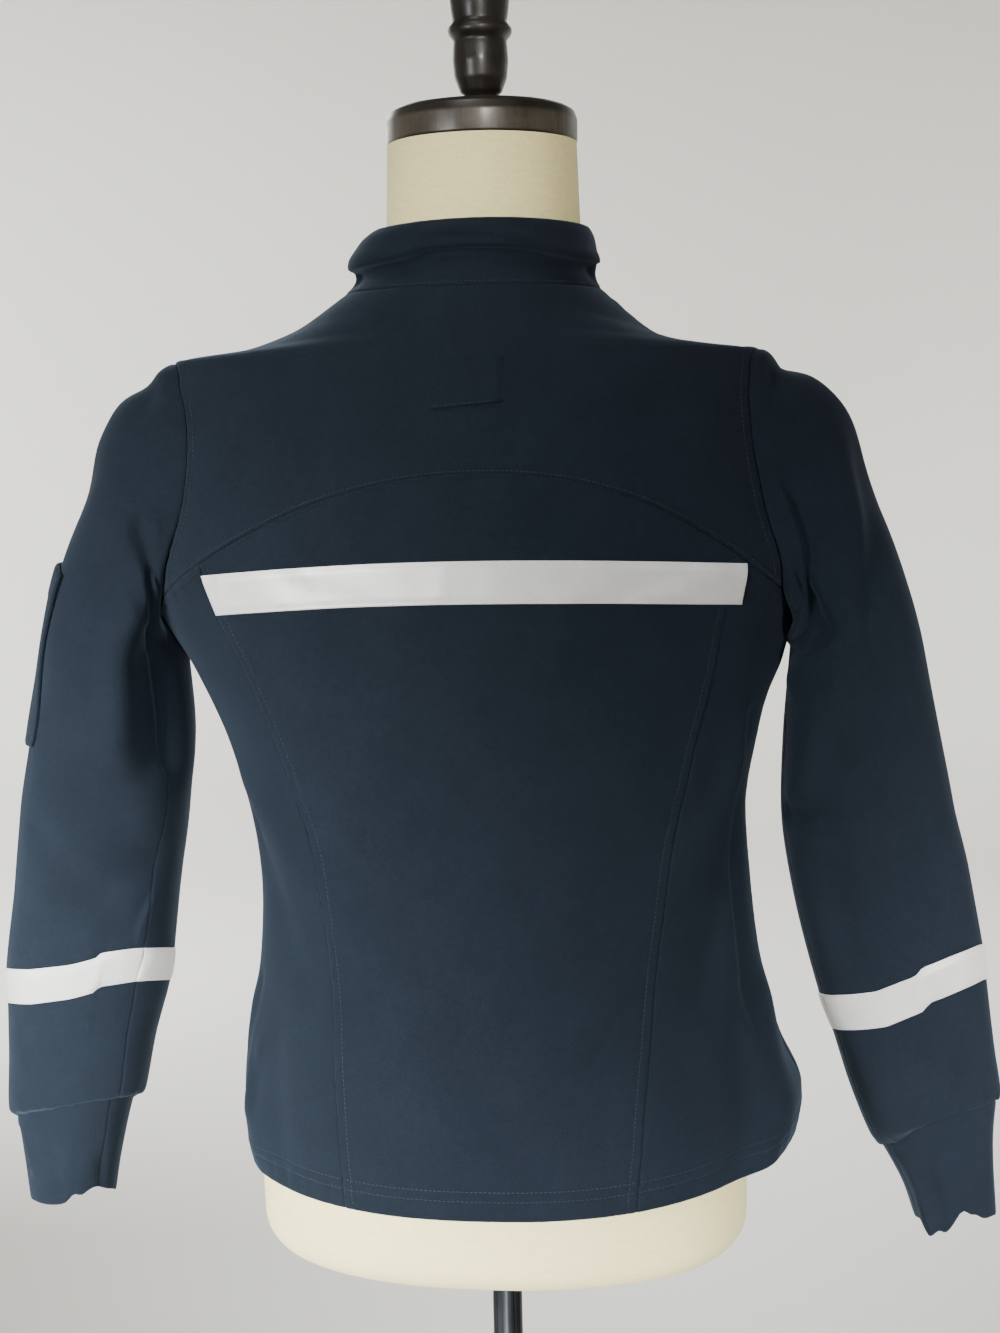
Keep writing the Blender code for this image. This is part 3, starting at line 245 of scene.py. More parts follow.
# Largest soft folds of the body: from and to (angle from the left side, height), how broad the
# fold is and how far it stands out of the cloth, less than 0 for a hollow. A degree counts as so many
# metres round the cloth.
BODY_DEGREE = 0.0028
SLEEVE_DEGREE = 0.00095
CUFF_DEGREE = 0.00062
Fold = namedtuple("Fold", "angle_0 at_0 angle_1 at_1 breadth lift")
BODY_FOLDS = [
    Fold(24, 1.075, 62, 0.985, 0.020, 0.0030),
    Fold(18, 1.040, 48, 0.945, 0.016, -0.0028),
    Fold(158, 1.085, 128, 1.000, 0.020, 0.0028),
    Fold(164, 1.045, 138, 0.950, 0.016, -0.0026),
    Fold(170, 0.930, 150, 0.845, 0.022, 0.0040),
    Fold(152, 0.930, 140, 0.850, 0.018, -0.0030),
    Fold(14, 0.925, 26, 0.845, 0.020, 0.0032),
    Fold(36, 0.915, 40, 0.850, 0.018, -0.0024),
    Fold(196, 1.075, 235, 0.985, 0.020, 0.0028),
    Fold(344, 1.075, 305, 0.985, 0.020, 0.0028),
    Fold(338, 0.915, 330, 0.850, 0.018, -0.0026),
    Fold(204, 0.915, 214, 0.850, 0.018, -0.0026),
]

# One row for each section of a sleeve, from the top of the arm to the cuff's seam: where its middle
# is (distance out from the centre plane, depth, height), half its width and depth, how far its
# outer end is lifted and its back end is lifted, in degrees.
Section = namedtuple("Section", "name out y z wide deep lift pitch")
SLEEVE_LEFT = (
    Section("upper arm", 0.2488, -0.004, 1.1495, 0.0457, 0.056, 0, 0),
    Section("arm", 0.2547, -0.010, 1.0983, 0.0530, 0.056, 0, 2),
    Section("elbow", 0.2655, -0.018, 1.0462, 0.0559, 0.053, -1, 5),
    Section("below elbow", 0.2770, -0.028, 0.9928, 0.0563, 0.049, -3, 10),
    Section("tape top", 0.2890, -0.038, 0.9349, 0.0585, 0.045, -7, 15),
    Section("tape foot", 0.2929, -0.042, 0.9098, 0.0568, 0.043, -8, 15),
    Section("forearm", 0.3017, -0.047, 0.8681, 0.0518, 0.039, -8, 15),
    Section("full end", 0.3088, -0.051, 0.8265, 0.0483, 0.036, -8, 15),
    Section("drawn end", 0.3102, -0.052, 0.8183, 0.0423, 0.032, -8, 15),
)
SLEEVE_RIGHT = (
    Section("upper arm", 0.2296, -0.002, 1.1497, 0.0416, 0.054, 0, 0),
    Section("arm", 0.2325, -0.006, 1.0990, 0.0482, 0.055, 2, 2),
    Section("elbow", 0.2371, -0.013, 1.0472, 0.0541, 0.053, 5, 4),
    Section("below elbow", 0.2474, -0.022, 0.9943, 0.0566, 0.049, 10, 8),
    Section("tape top", 0.2613, -0.031, 0.9335, 0.0549, 0.045, 17, 13),
    Section("tape foot", 0.2673, -0.035, 0.9089, 0.0525, 0.043, 18, 13),
    Section("forearm", 0.2768, -0.040, 0.8655, 0.0492, 0.039, 18, 13),
    Section("full end", 0.2867, -0.044, 0.8297, 0.0452, 0.036, 18, 13),
    Section("drawn end", 0.2886, -0.045, 0.8211, 0.0400, 0.032, 18, 13),
)
CUFF_LEFT = (
    Section("seam", 0.3102, -0.052, 0.8183, 0.0423, 0.032, -8, 15),
    Section("upper", 0.3127, -0.053, 0.8022, 0.0379, 0.029, -6, 14),
    Section("lower", 0.3152, -0.055, 0.7783, 0.0333, 0.027, -5, 12),
    Section("edge", 0.3170, -0.056, 0.7537, 0.0300, 0.025, -4, 10),
)
CUFF_RIGHT = (
    Section("seam", 0.2886, -0.045, 0.8211, 0.0400, 0.032, 18, 13),
    Section("upper", 0.2916, -0.046, 0.8051, 0.0348, 0.029, 15, 12),
    Section("lower", 0.2971, -0.048, 0.7813, 0.0297, 0.027, 11, 11),
    Section("edge", 0.3021, -0.050, 0.7544, 0.0266, 0.025, 8, 10),
)
TAPE_SECTIONS = (4, 5)
SLEEVE_SQUARE = 2.2
CUFF_WAVE = 0.0045

# Lengths down the cloth: of a sleeve's cap, and from row to row of a sleeve's and a cuff's table
CAP_LENGTH = 0.150
SECTION_LENGTH = 0.050
CUFF_STEP = 0.022

# The cap: which way it leaves the armhole at the underarm and the tip, and how firmly it leaves there
# and runs into the sleeve
LEAVE_UNDERARM = (0.25, 0, -1)
LEAVE_TIP = (1, 0, -0.1)
CAP_START = 0.60
CAP_END = 0.95

# Largest folds of each sleeve: angle round from its inner side by the back, and distance down it
LEFT_FOLDS = [
    Fold(178, 0.014, 178, 0.016, 0.012, -0.0030),
    Fold(178, 0.042, 178, 0.058, 0.020, 0.0055),
    Fold(66, 0.095, 72, 0.200, 0.013, 0.0060),
    Fold(34, 0.100, 38, 0.215, 0.018, -0.0110),
    Fold(120, 0.190, 66, 0.262, 0.018, -0.0035),
    Fold(300, 0.110, 322, 0.230, 0.018, -0.0080),
    Fold(40, 0.290, 120, 0.330, 0.016, -0.0030),
    Fold(300, 0.330, 230, 0.300, 0.018, -0.0040),
]
RIGHT_FOLDS = [
    Fold(178, 0.012, 178, 0.014, 0.012, -0.0020),
    Fold(178, 0.036, 178, 0.052, 0.020, 0.0050),
    Fold(156, 0.084, 106, 0.114, 0.012, -0.0034),
    Fold(102, 0.120, 90, 0.165, 0.013, -0.0030),
    Fold(118, 0.220, 104, 0.270, 0.016, -0.0024),
    Fold(128, 0.082, 98, 0.100, 0.011, 0.0018),
    Fold(86, 0.116, 74, 0.165, 0.013, 0.0024),
    Fold(52, 0.060, 58, 0.120, 0.012, -0.0070),
    Fold(60, 0.135, 20, 0.165, 0.012, 0.0040),
    Fold(300, 0.110, 322, 0.230, 0.018, -0.0080),
    Fold(40, 0.290, 120, 0.330, 0.016, -0.0030),
]

# The patch pocket on the left upper arm: the arc that it covers, the share of the cap where it
# starts and the section of the sleeve where it ends
POCKET_ARC = (138, 222)
POCKET_TOP = 0.725
POCKET_FOOT = 1.1

# The small self-cloth patch below the collar
PATCH_SIDES = (0.0285, -0.0215)
PATCH_HEIGHTS = (1.3045, 1.3305)

# The dress form: height, half its width, and its depth to the back and front of the pole
Round = namedtuple("Round", "z_side z_back z_front wide back front square")
FORM = (
    Round(0.7570, 0.7570, 0.7570, 0.1180, 0.066, 0.062, 2.3),
    Round(0.7600, 0.7600, 0.7600, 0.1400, 0.084, 0.080, 2.3),
    Round(0.7680, 0.7680, 0.7680, 0.1540, 0.096, 0.092, 2.3),
    Round(0.7820, 0.7820, 0.7820, 0.1595, 0.102, 0.097, 2.3),
    Round(0.8200, 0.8200, 0.8200, 0.1600, 0.105, 0.099, 2.3),
    Round(0.8600, 0.8600, 0.8600, 0.1590, 0.105, 0.098, 2.3),
    Round(0.9050, 0.9050, 0.9050, 0.1520, 0.101, 0.093, 2.25),
    Round(0.9500, 0.9500, 0.9500, 0.1400, 0.091, 0.086, 2.2),
    Round(1.0000, 1.0000, 1.0000, 0.1300, 0.081, 0.082, 2.2),
    Round(1.0500, 1.0500, 1.0500, 0.1330, 0.081, 0.088, 2.2),
    Round(1.1000, 1.1000, 1.1000, 0.1440, 0.087, 0.102, 2.1),
    Round(1.1500, 1.1500, 1.1500, 0.1560, 0.094, 0.114, 2.05),
    Round(1.2000, 1.2000, 1.1980, 0.1650, 0.098, 0.110, 2.0),
    Round(1.2500, 1.2500, 1.2400, 0.1680, 0.095, 0.101, 1.95),
    Round(1.2900, 1.2900, 1.2680, 0.1660, 0.088, 0.092, 1.8),
    Round(1.3180, 1.3160, 1.2860, 0.1600, 0.080, 0.084, 1.7),
    Round(1.3300, 1.3320, 1.2990, 0.1500, 0.074, 0.078, 1.7),
    Round(1.3360, 1.3450, 1.3070, 0.1350, 0.070, 0.074, 1.7),
    Round(1.3414, 1.3550, 1.3140, 0.1160, 0.067, 0.071, 1.8),
    Round(1.3486, 1.3640, 1.3230, 0.0960, 0.0645, 0.068, 1.9),
    Round(1.3590, 1.3750, 1.3400, 0.0735, 0.0620, 0.064, 2.0),
    Round(1.3740, 1.3860, 1.3580, 0.0635, 0.0608, 0.062, 2.0),
    Round(1.4050, 1.4050, 1.3800, 0.0606, 0.0602, 0.0605, 2.0),
    Round(1.4350, 1.4350, 1.4260, 0.0596, 0.0596, 0.0596, 2.0),
    Round(1.4655, 1.4655, 1.4655, 0.0585, 0.0585, 0.0585, 2.0),
)
POLE_RADIUS = 0.00985
POLE_FIT = 0.0004
FORM_SOCKET_TOP = 0.830
BASE_SOCKET_FOOT = 0.010

# Turned profiles, radius and height, from the axis at the bottom to the axis at the top
CAP_PROFILE = [
    (0, 1.4658),
    (0.0590, 1.4658),
    (0.0592, 1.4790),
    (0.0575, 1.4840),
    (0.0530, 1.4865),
    (0, 1.4865),
]
FINIAL_PROFILE = [
    (0, 1.4868),
    (0.0086, 1.4868),
    (0.0086, 1.4940),
    (0.0132, 1.4972),
    (0.0162, 1.5050),
    (0.0173, 1.5150),
    (0.0169, 1.5240),
    (0.0164, 1.5275),
    (0.0196, 1.5312),
    (0.0200, 1.5345),
    (0.0168, 1.5385),
    (0.0178, 1.5440),
    (0.0187, 1.5520),
    (0.0176, 1.5610),
    (0.0140, 1.5680),
    (0.0118, 1.5725),
    (0.0142, 1.5770),
    (0.0142, 1.5830),
    (0.0100, 1.5900),
    (0, 1.5930),
]
BASE_PROFILE = [
    (0, 0),
    (0.1680, 0),
    (0.1700, 0.0020),
    (0.1700, 0.0070),
    (0.1660, 0.0100),
    (0.0600, 0.0135),
    (0.0240, 0.0180),
    (0.0170, 0.0260),
    (0.0160, 0.0600),
    (0.0145, 0.0620),
    (POLE_RADIUS + POLE_FIT, 0.0620),
    (POLE_RADIUS + POLE_FIT, BASE_SOCKET_FOOT),
    (0, BASE_SOCKET_FOOT),
]

# The zip's slider, near the neck: the height of its middle, its size, the width of the bridge on which
# the tab hangs, the depth of its face, how thick its front plate is, where its back plate starts behind
# its face, and how round the plates' corners are
SLIDER_Z = 1.3615
SLIDER_HIGH = 0.0120
SLIDER_WIDE = 0.0090
SLIDER_DEEP = 0.0030
BRIDGE_WIDE = 0.0016
SLIDER_FACE = -0.07562
PLATE_THICK = 0.0012
BACK_PLATE = 0.0019
PLATE_ROUND = 0.0022

# Smaller soft folds that the photographed cloth has, with the same columns as the largest ones
LEFT_SOFT = [
    Fold(150, 0.026, 214, 0.032, 0.011, -0.0048),
    Fold(160, 0.078, 196, 0.088, 0.015, -0.0030),
    Fold(112, 0.054, 88, 0.038, 0.006, 0.0016),
    Fold(120, 0.262, 60, 0.331, 0.012, -0.0026),
    Fold(86, 0.225, 60, 0.236, 0.014, -0.0012),
    Fold(126, 0.436, 92, 0.478, 0.009, -0.0014),
    Fold(150, 0.120, 120, 0.150, 0.018, 0.0014),
    Fold(240, 0.140, 290, 0.120, 0.010, 0.0020),
    Fold(236, 0.160, 296, 0.146, 0.009, -0.0020),
    Fold(262, 0.236, 330, 0.222, 0.010, 0.0018),
    Fold(268, 0.420, 230, 0.372, 0.010, -0.0016),
    Fold(300, 0.455, 250, 0.440, 0.009, 0.0012),
]
RIGHT_SOFT = [
    Fold(150, 0.020, 214, 0.022, 0.013, -0.0075),
    Fold(172, 0.054, 180, 0.060, 0.013, 0.0026),
    Fold(4, 0.084, 8, 0.112, 0.017, 0.0060),
    Fold(101, 0.066, 95, 0.077, 0.006, -0.0014),
    Fold(42, 0.068, 60, 0.091, 0.007, -0.0018),
    Fold(80, 0.172, 66, 0.212, 0.016, -0.0030),
    Fold(66, 0.212, 40, 0.246, 0.014, -0.0024),
    Fold(22, 0.248, 62, 0.247, 0.007, -0.0030),
    Fold(26, 0.236, 70, 0.232, 0.008, 0.0014),
    Fold(88, 0.262, 76, 0.318, 0.012, 0.0014),
    Fold(62, 0.268, 58, 0.310, 0.014, -0.0014),
    Fold(112, 0.440, 96, 0.484, 0.010, -0.0014),
    Fold(240, 0.150, 292, 0.124, 0.010, 0.0020),
    Fold(238, 0.168, 298, 0.150, 0.009, -0.0020),
    Fold(266, 0.250, 330, 0.236, 0.010, 0.0018),
    Fold(262, 0.400, 222, 0.368, 0.010, -0.0016),
]
BODY_SOFT = [
    Fold(6, 1.200, 8, 1.216, 0.015, 0.0060),
    Fold(172, 1.150, 174, 1.185, 0.020, 0.0040),
    Fold(60, 1.205, 72, 1.190, 0.009, -0.0008),
    Fold(124, 1.205, 110, 1.188, 0.009, -0.0008),
    Fold(86, 1.300, 98, 1.296, 0.014, -0.0006),
    Fold(27, 0.905, 23, 0.862, 0.006, 0.0014),
    Fold(19, 0.945, 18, 0.900, 0.007, -0.0014),
    Fold(48, 1.075, 70, 1.035, 0.014, 0.0012),
    Fold(138, 1.080, 116, 1.042, 0.014, 0.0012),
    Fold(100, 0.905, 92, 0.862, 0.020, -0.0012),
    Fold(262, 1.085, 236, 1.050, 0.012, 0.0014),
    Fold(278, 1.080, 304, 1.048, 0.012, 0.0014),
    Fold(264, 0.985, 240, 0.965, 0.012, -0.0013),
    Fold(277, 0.990, 300, 0.968, 0.012, -0.0013),
    Fold(266, 1.230, 246, 1.250, 0.014, -0.0012),
    Fold(274, 1.226, 292, 1.252, 0.014, -0.0012),
]

# Sharp creases: a line of places as above, the breadth of the steep side, which lies to the left of
# the line's way when angles run to the right and heights up, of the soft side, how far the ridge
# stands out, and how deep the hollow beside it is as a share of that
Crease = namedtuple("Crease", "line steep soft lift dip")

# How far from a crease it is still felt and how wide its hollow is, in its breadths, and the distance
# over which its ends die out, with the share of its length that this can't pass
CREASE_REACH = 4
HOLLOW_WIDE = 1.3
CREASE_FADE = 0.014
CREASE_FADE_SHARE = 0.3
LEFT_CREASES = [
    Crease([(32, 0.240), (38, 0.206), (38, 0.176), (38, 0.140), (48, 0.090), (62, 0.068), (75, 0.0635),
            (88, 0.0640), (103, 0.0625), (114, 0.058)], 0.0055, 0.014, 0.0028, 1.2),
    Crease([(46, 0.036), (58, 0.046), (68, 0.058)], 0.0026, 0.006, 0.0014, 1.1),
    Crease([(28, 0.306), (37, 0.320), (43, 0.336), (43, 0.350)], 0.0026, 0.008, 0.0009, 1.2),
    Crease([(98, 0.484), (76, 0.476), (60, 0.482)], 0.0030, 0.006, 0.0012, 1.0),
    Crease([(325, 0.240), (318, 0.180), (300, 0.120), (282, 0.088)], 0.0045, 0.013, 0.0030, 1.5),
    Crease([(330, 0.300), (312, 0.318), (286, 0.322)], 0.0035, 0.010, 0.0020, 1.2),
]
RIGHT_CREASES = [
    Crease([(96, 0.022), (91, 0.036), (84, 0.050), (76, 0.059), (56, 0.066), (34, 0.092),
            (20, 0.114)], 0.0045, 0.012, 0.0026, 2.0),
    Crease([(72, 0.066), (80, 0.074), (90, 0.078)], 0.0024, 0.006, 0.0012, 1.2),
    Crease([(164, 0.055), (146, 0.068), (134, 0.080), (112, 0.091), (98, 0.101), (88, 0.112),
            (79, 0.130), (74, 0.150), (68, 0.176), (64, 0.200)], 0.0150, 0.028, 0.0010, 3.4),
    Crease([(325, 0.236), (320, 0.180), (304, 0.124), (284, 0.090)], 0.0045, 0.013, 0.0030, 1.5),
    Crease([(330, 0.312), (306, 0.330), (280, 0.332)], 0.0035, 0.010, 0.0020, 1.2),
]
BODY_CREASES = [
    Crease([(156, 1.125), (157.5, 1.060), (153.5, 0.985), (152, 0.945), (155, 0.905)],
           0.008, 0.020, 0.0020, 1.3),
    Crease([(22, 0.905), (24, 0.880), (26, 0.856)], 0.005, 0.008, 0.0012, 1.0),
]

# Seams of the sleeves: angle at each distance down them
LEFT_SEAM = [(0, 0.0), (12, 0.10), (24, 0.20), (34, 0.30), (42, 0.40), (39, 0.48), (39, 0.70)]
RIGHT_SEAM = [(0, 0.0), (6, 0.10), (10, 0.20), (14, 0.30), (18, 0.40), (20, 0.48), (20, 0.70)]

# Grids: the share of a side back's rows below the bust and of its head on the armhole, of the yoke's
# rows on the armhole, and of a front's rows below the armhole and up to its top
SIDE_BREAK = 0.78
ARC_SHARE = 0.5
YOKE_BREAK = 0.55
FRONT_BREAKS = (0.66, 0.93)

# The armhole is read at so many points, the folds come in over this share of the cap, and a sleeve
# and a cuff measure this much round
LOOP_POINTS = 720
FOLDS_START = 0.13
SLEEVE_ROUND = 0.345
CUFF_ROUND = 0.24

# Rough sizes of the pieces, by which their rows and columns are graded, with how far the middle panel
# reaches below the back tape, from the bust, and above it, and how far up from the hem rows are fine
MIDDLE_SIZE = (0.340, 0.32)
YOKE_SIZE = (0.19, 0.42)
SIDE_SIZE = (0.43, 0.16)
FRONT_SIZE = (0.56, 0.24)
TAPE_BELOW = 0.030
TAPE_ABOVE = 0.050
TAPE_LONG = 0.31
COLLAR_SIZE = (0.042, 0.46)
CUFF_LONG = 0.066
HEM_FINE = 0.0225

# A point's distance from an edge is measured to the edge itself up to here, looking this many columns
# aside, and beyond that along the cloth
NEAR = 0.040
LOOK_ASIDE = 16

# How the edges of cloth look: how deep and wide the seam's groove is, how much the doubled cloth
# beside it stands out and how far it reaches, where it is topstitched, and how much it puckers
Edge = namedtuple("Edge", "groove groove_wide raised reach stitches pucker")
PLAIN = Edge(0.0004, 0.0010, 0.0, 0.0, (), 0.00010)
FLUSH = Edge(0.0, 0.0010, 0.0, 0.0, (), 0.00006)
SEAMED = Edge(0.0004, 0.0008, 0, 0, (), 0.00018)
TOPSTITCHED = Edge(0.0011, 0.0010, 0.0004, 0.0062, (0.0058,), 0.00030)
SHAPED = Edge(0.0006, 0.0009, 0.0001, 0.0062, (0.0058,), 0.00030)
CUFFED = Edge(0.0002, 0.0010, 0, 0.0060, (), 0.00050)
TUCKED = Edge(0.0016, 0.0022, 0, 0, (), 0.00010)
EDGESTITCHED = Edge(0.0008, 0.0009, 0.0006, 0.0034, (0.0021,), 0.00016)
BANDED = Edge(0.0003, 0.0009, 0.0006, 0.0034, (0.0021,), 0.00020)
RIDGED = Edge(0.0013, 0.0010, 0.0005, 0.0022, (), 0.00012)
HEM = Edge(0.0005, 0.0009, 0.0005, 0.0205, (0.0134, 0.0200), 0.00050)
LAPPED = Edge(0.0005, 0.0010, 0.0002, 0.0040, (0.0022,), 0.00012)
POCKET_HEM = Edge(0.0005, 0.0010, 0.0005, 0.0200, (0.0190,), 0.00012)

# From stitch to stitch, how long and how thick the thread is on top, and the stitching of the tapes
# and the patch: how far from the edge, and where the patch's starts and ends
STITCH = 0.0028
STITCH_LONG = 0.0023
THREAD_RADIUS = 0.00022
TAPE_THREAD_RADIUS = 0.00018
TAPE_STITCHES = 0.0024
PATCH_STITCHES = 0.0013
PATCH_STITCHES_TRIM = 0.007

# Beside an edge: how soft the step down from the doubled cloth is, how deep a stitch draws the cloth
# in, how that differs along the seam, how wide it is, and over what distance the pucker dies out
STEP_SOFT = 0.0020
STITCH_DEPTH = 0.00030
STITCH_UNEVEN = 0.00008
STITCH_WIDE = 0.0009
PUCKER_WIDE = 0.0085

# The collar's and the cuffs' own creases, with the columns of the others
COLLAR_CREASES = [
    Crease([(176, 1.3920), (150, 1.3932), (134, 1.3948), (119.5, 1.3980), (101, 1.3997), (84, 1.4004),
            (72, 1.3996), (54, 1.3945), (32, 1.3928), (8, 1.3915)], 0.0030, 0.0062, 0.0036, 2.0),
    Crease([(120, 1.4020), (104, 1.4056), (84, 1.4080), (66, 1.4068)], 0.0026, 0.0046, 0.0019, 1.6),
    Crease([(90, 1.3930), (74, 1.3930), (56, 1.3925)], 0.0018, 0.0032, 0.0014, 1.5),
    Crease([(350, 1.3790), (322, 1.3700), (296, 1.3660)], 0.0022, 0.0060, 0.0020, 1.4),
    Crease([(246, 1.3660), (216, 1.3720), (190, 1.3800)], 0.0022, 0.0060, 0.0020, 1.4),
]
CUFF_CREASES = {
    "left": [
        Crease([(88, 0.018), (84, 0.040), (80, 0.070)], 0.004, 0.009, 0.0010, 1.2),
        Crease([(150, 0.010), (140, 0.030), (128, 0.052)], 0.003, 0.008, 0.0014, 1.0),
        Crease([(250, 0.012), (262, 0.036)], 0.003, 0.008, 0.0014, 1.0),
    ],
    "right": [
        Crease([(80, 0.070), (78, 0.044), (74, 0.018)], 0.0045, 0.009, 0.0011, 1.4),
        Crease([(30, 0.012), (44, 0.030), (52, 0.050)], 0.003, 0.008, 0.0012, 1.0),
        Crease([(250, 0.012), (262, 0.036)], 0.003, 0.008, 0.0014, 1.0),
    ],
}
CUFF_SOFT = {
    "left": [
        Fold(120, 0.008, 150, 0.012, 0.006, 0.0012),
        Fold(40, 0.044, 34, 0.066, 0.006, -0.0014),
    ],
    "right": [
        Fold(120, 0.008, 150, 0.012, 0.006, 0.0012),
        Fold(118, 0.044, 122, 0.066, 0.006, -0.0012),
    ],
}

# How much lower or higher cloth hangs at angles round a sleeve. At the cuff's edge: an angle, its
# breadth and a height each.
CUFF_EDGE = {
    "left": ((122, 26, -0.0012), (76, 8, 0.0050), (50, 20, 0.0055), (250, 40, 0.0030)),
    "right": ((44, 16, -0.0110), (70, 8, -0.0040), (92, 9, 0.0095), (108, 12, 0.0060),
              (250, 40, 0.0030)),
}

# Round the tape and round the sleeve's foot: angles and heights. Then how many sections up and down
# they reach, in the sleeve and, for the foot, in the cuff too, which starts a little higher, and how
# soft their corners are, in degrees.
TAPE_ROWS = {
    "left": [(0, 0), (20, 0.001), (45, 0.0026), (71, 0.0020), (74, -0.0016), (90, -0.0044),
             (118, -0.0046), (150, -0.0014), (180, 0), (220, 0.0016), (260, -0.0018), (310, 0.0012),
             (360, 0)],
    "right": [(0, 0), (38, -0.0030), (71, -0.0066), (94, -0.0034), (98, 0.0016), (125, 0.0034),
              (150, 0.0040), (180, 0.0010), (220, -0.0016), (260, 0.0018), (310, -0.0012), (360, 0)],
}
CUFF_ROWS = {
    "left": [(0, 0.0060), (38, 0.0065), (79, 0.0070), (100, 0.0045), (137, 0.0030), (180, 0.0010),
             (270, 0), (330, 0.0030), (360, 0.0060)],
    "right": [(0, -0.0028), (43, 0), (66, 0.0065), (80, 0.0130), (86, 0.0160), (98, 0.0165),
              (150, 0.0090), (200, 0.0010), (270, 0), (330, -0.0010), (360, -0.0028)],
}
TAPE_REACH = 1.6
CUFF_REACH = (0.7, 1.1)
CUFF_UNDER = 0.0034
TAPE_CORNER = 1.2
CUFF_CORNER = 3.0

# Each tape: the cloth it lies on, and where it is pushed into a small step, as a share of the way
# round and a height
Tape = namedtuple("Tape", "rests_on steps")
TAPES = {
    "back_tape": Tape("back_middle_cloth", ()),
    "sleeve_tape_left": Tape("sleeve_left_cloth", ((0.90, 0.0014),)),
    "sleeve_tape_right": Tape("sleeve_right_cloth", ((0.219, 0.0014),)),
}

# Its wrinkles: one for each such length on average, how high and how broad from and to, how much of
# the height is sure, how much they lean and bow, then a ripple's length and height all along it, how
# far it stands off its cloth between its edges, how steep its steps are before and after, and where
# its edges are sewn down, how wide and how deep, and how far the back tape's ends stand out
WRINKLE_SPACING = 0.035
WRINKLE_HIGH = (0.0003, 0.0008)
WRINKLE_WIDE = (0.002, 0.0055)
WRINKLE_SURE = 0.4
WRINKLE_LEAN = 0.5
WRINKLE_BOW = 0.004
TAPE_RIPPLE = (0.034, 0.00016)
TAPE_LOOSE = 0.0003
TAPE_STEP = (0.0010, 0.010)
TAPE_SEWN = (0.09, 0.05, 0.00008)
TAPE_END_LIFT = 0.0004

# The patch below the collar: how far its right end is tilted up and the upper corner there drawn up,
# how deep its ends lie in the cloth, how far the rest stands out from there, the ridges along its foot
# and head with their breadth as a share of its height, and its waves
PATCH_TILT = 0.0040
PATCH_CORNER = 0.0012
PATCH_SUNK = -0.0014
PATCH_RAISED = 0.0016
PATCH_RIDGES = (0.0017, 0.0013)
PATCH_RIDGE_SHARE = 0.09
PATCH_WAVE = 0.0004

# Seam allowances: how far they lie below the inside of the neighbouring piece, and the rows in which
# they turn down and go under it, each a share of the way down and a distance beyond the edge
ALLOWANCE_GAP = 0.0003
ALLOWANCE_ROWS = ((0.55, 0.0003), (1, 0.0012), (1, 0.0045))

# Seeds of each piece's unevenness. What lies on cloth also follows the unevenness of that cloth.
SEEDS = dict(
    back_middle=11, back_yoke=12, back_side_left=14, back_side_right=12, front_left=24, front_right=22,
    collar=31, sleeve_left=41, sleeve_right=39, cuff_left=51, cuff_right=49, sleeve_pocket=61,
    back_tape=5, sleeve_tape_left=9, sleeve_tape_right=7, form_cover=71,
)

# A faint unevenness all over the cloth: the lengths of its waves, and its height
WAVES = (0.110, 0.075, 0.052, 0.038)
WAVE_HEIGHT = 0.0004

# Stitches: how many sides, and rings from end to end (place along it, size and rise in its radius)
STITCH_SIDES = 5
STITCH_RINGS = ((-0.5, 0.25, -0.9), (-0.3, 0.95, 0.35), (0.3, 0.95, 0.35), (0.5, 0.25, -0.9))

# The zip's chain: from tooth to tooth, how far the teeth stand to their side and below the cloth,
# half a tooth's size across, out and along, the tape's depth and thickness, and how much narrower it
# is than the gap between the fronts on each side
ZIP_PITCH = 0.00125
TOOTH_ASIDE = 0.00055
TOOTH_LOW = 0.0007
TOOTH = (0.0017, 0.00065, 0.00055)
ZIP_TAPE_LOW = 0.0012
ZIP_TAPE_THICK = 0.0009
ZIP_SPARE = 0.0003

# The pull tab: its depth, size, the foot of its eye below the slider's middle, and its play
PULL_Y = -0.07662
PULL_LONG = 0.0250
PULL_WIDE = 0.0062
PULL_THICK = 0.0012
PULL_EYE = 0.0056
PULL_FIT = 0.0005

# The slider's bridge, on which the tab hangs: depths from the slider's face and heights about its
# middle, from the foot up
BRIDGE_WAY = ((0.0004, -0.0036), (-0.0014, -0.0036), (-0.0022, -0.0033), (-0.0025, -0.0025),
              (-0.0025, 0.0025), (-0.0022, 0.0033), (-0.0014, 0.0036), (0.0004, 0.0036))

# The knit's stitches, across and along, the cuffs' ribs and the form's weave
STITCH_SIZE = (0.0016, 0.0013)
RIB = 0.0031
WEFT = 0.0008
WARPS = 640.0

# Colours, and the painted shade on the cap's wood at its up-facing rim and at its foot on the neck: the
# heights between which it darkens, and how light it is at them
CLOTH_COLOUR = (0.0082, 0.0122, 0.0186)
THREAD_COLOUR = (0.018, 0.026, 0.036)
TAPE_COLOUR = (0.66, 0.645, 0.625)
LINEN_COLOUR = (0.88, 0.77, 0.38)
WOOD_COLOUR = (0.060, 0.050, 0.037)
WALL_COLOUR = (0.80, 0.79, 0.75)
WHITE_THREAD_COLOUR = (0.62, 0.62, 0.60)
POLE_COLOUR = (0.040, 0.044, 0.048)
BASE_COLOUR = (0.030, 0.030, 0.033)
NICKEL_COLOUR = (0.20, 0.20, 0.21)
ZIP_COLOUR = (0.011, 0.016, 0.024)
CAP_RIM_SHADE = (1.4775, 1.4800, 1.0, 0.30)
CAP_FOOT_SHADE = (1.4660, 1.4675, 0.25, 1.0)

# The photo's camera: its azimuth, downward pitch and roll, its distance from the axis and its height,
# its focal length and how far right of the axis it looks, in pixels, and the photo's height
CAMERA_ANGLES = (186.0, 7.65, 1.25)
CAMERA_DISTANCE = 1.15
CAMERA_HEIGHT = 1.2952
CAMERA_PIXELS = 1809.0
CAMERA_ASIDE = 6.5
PHOTO_HEIGHT = 1333

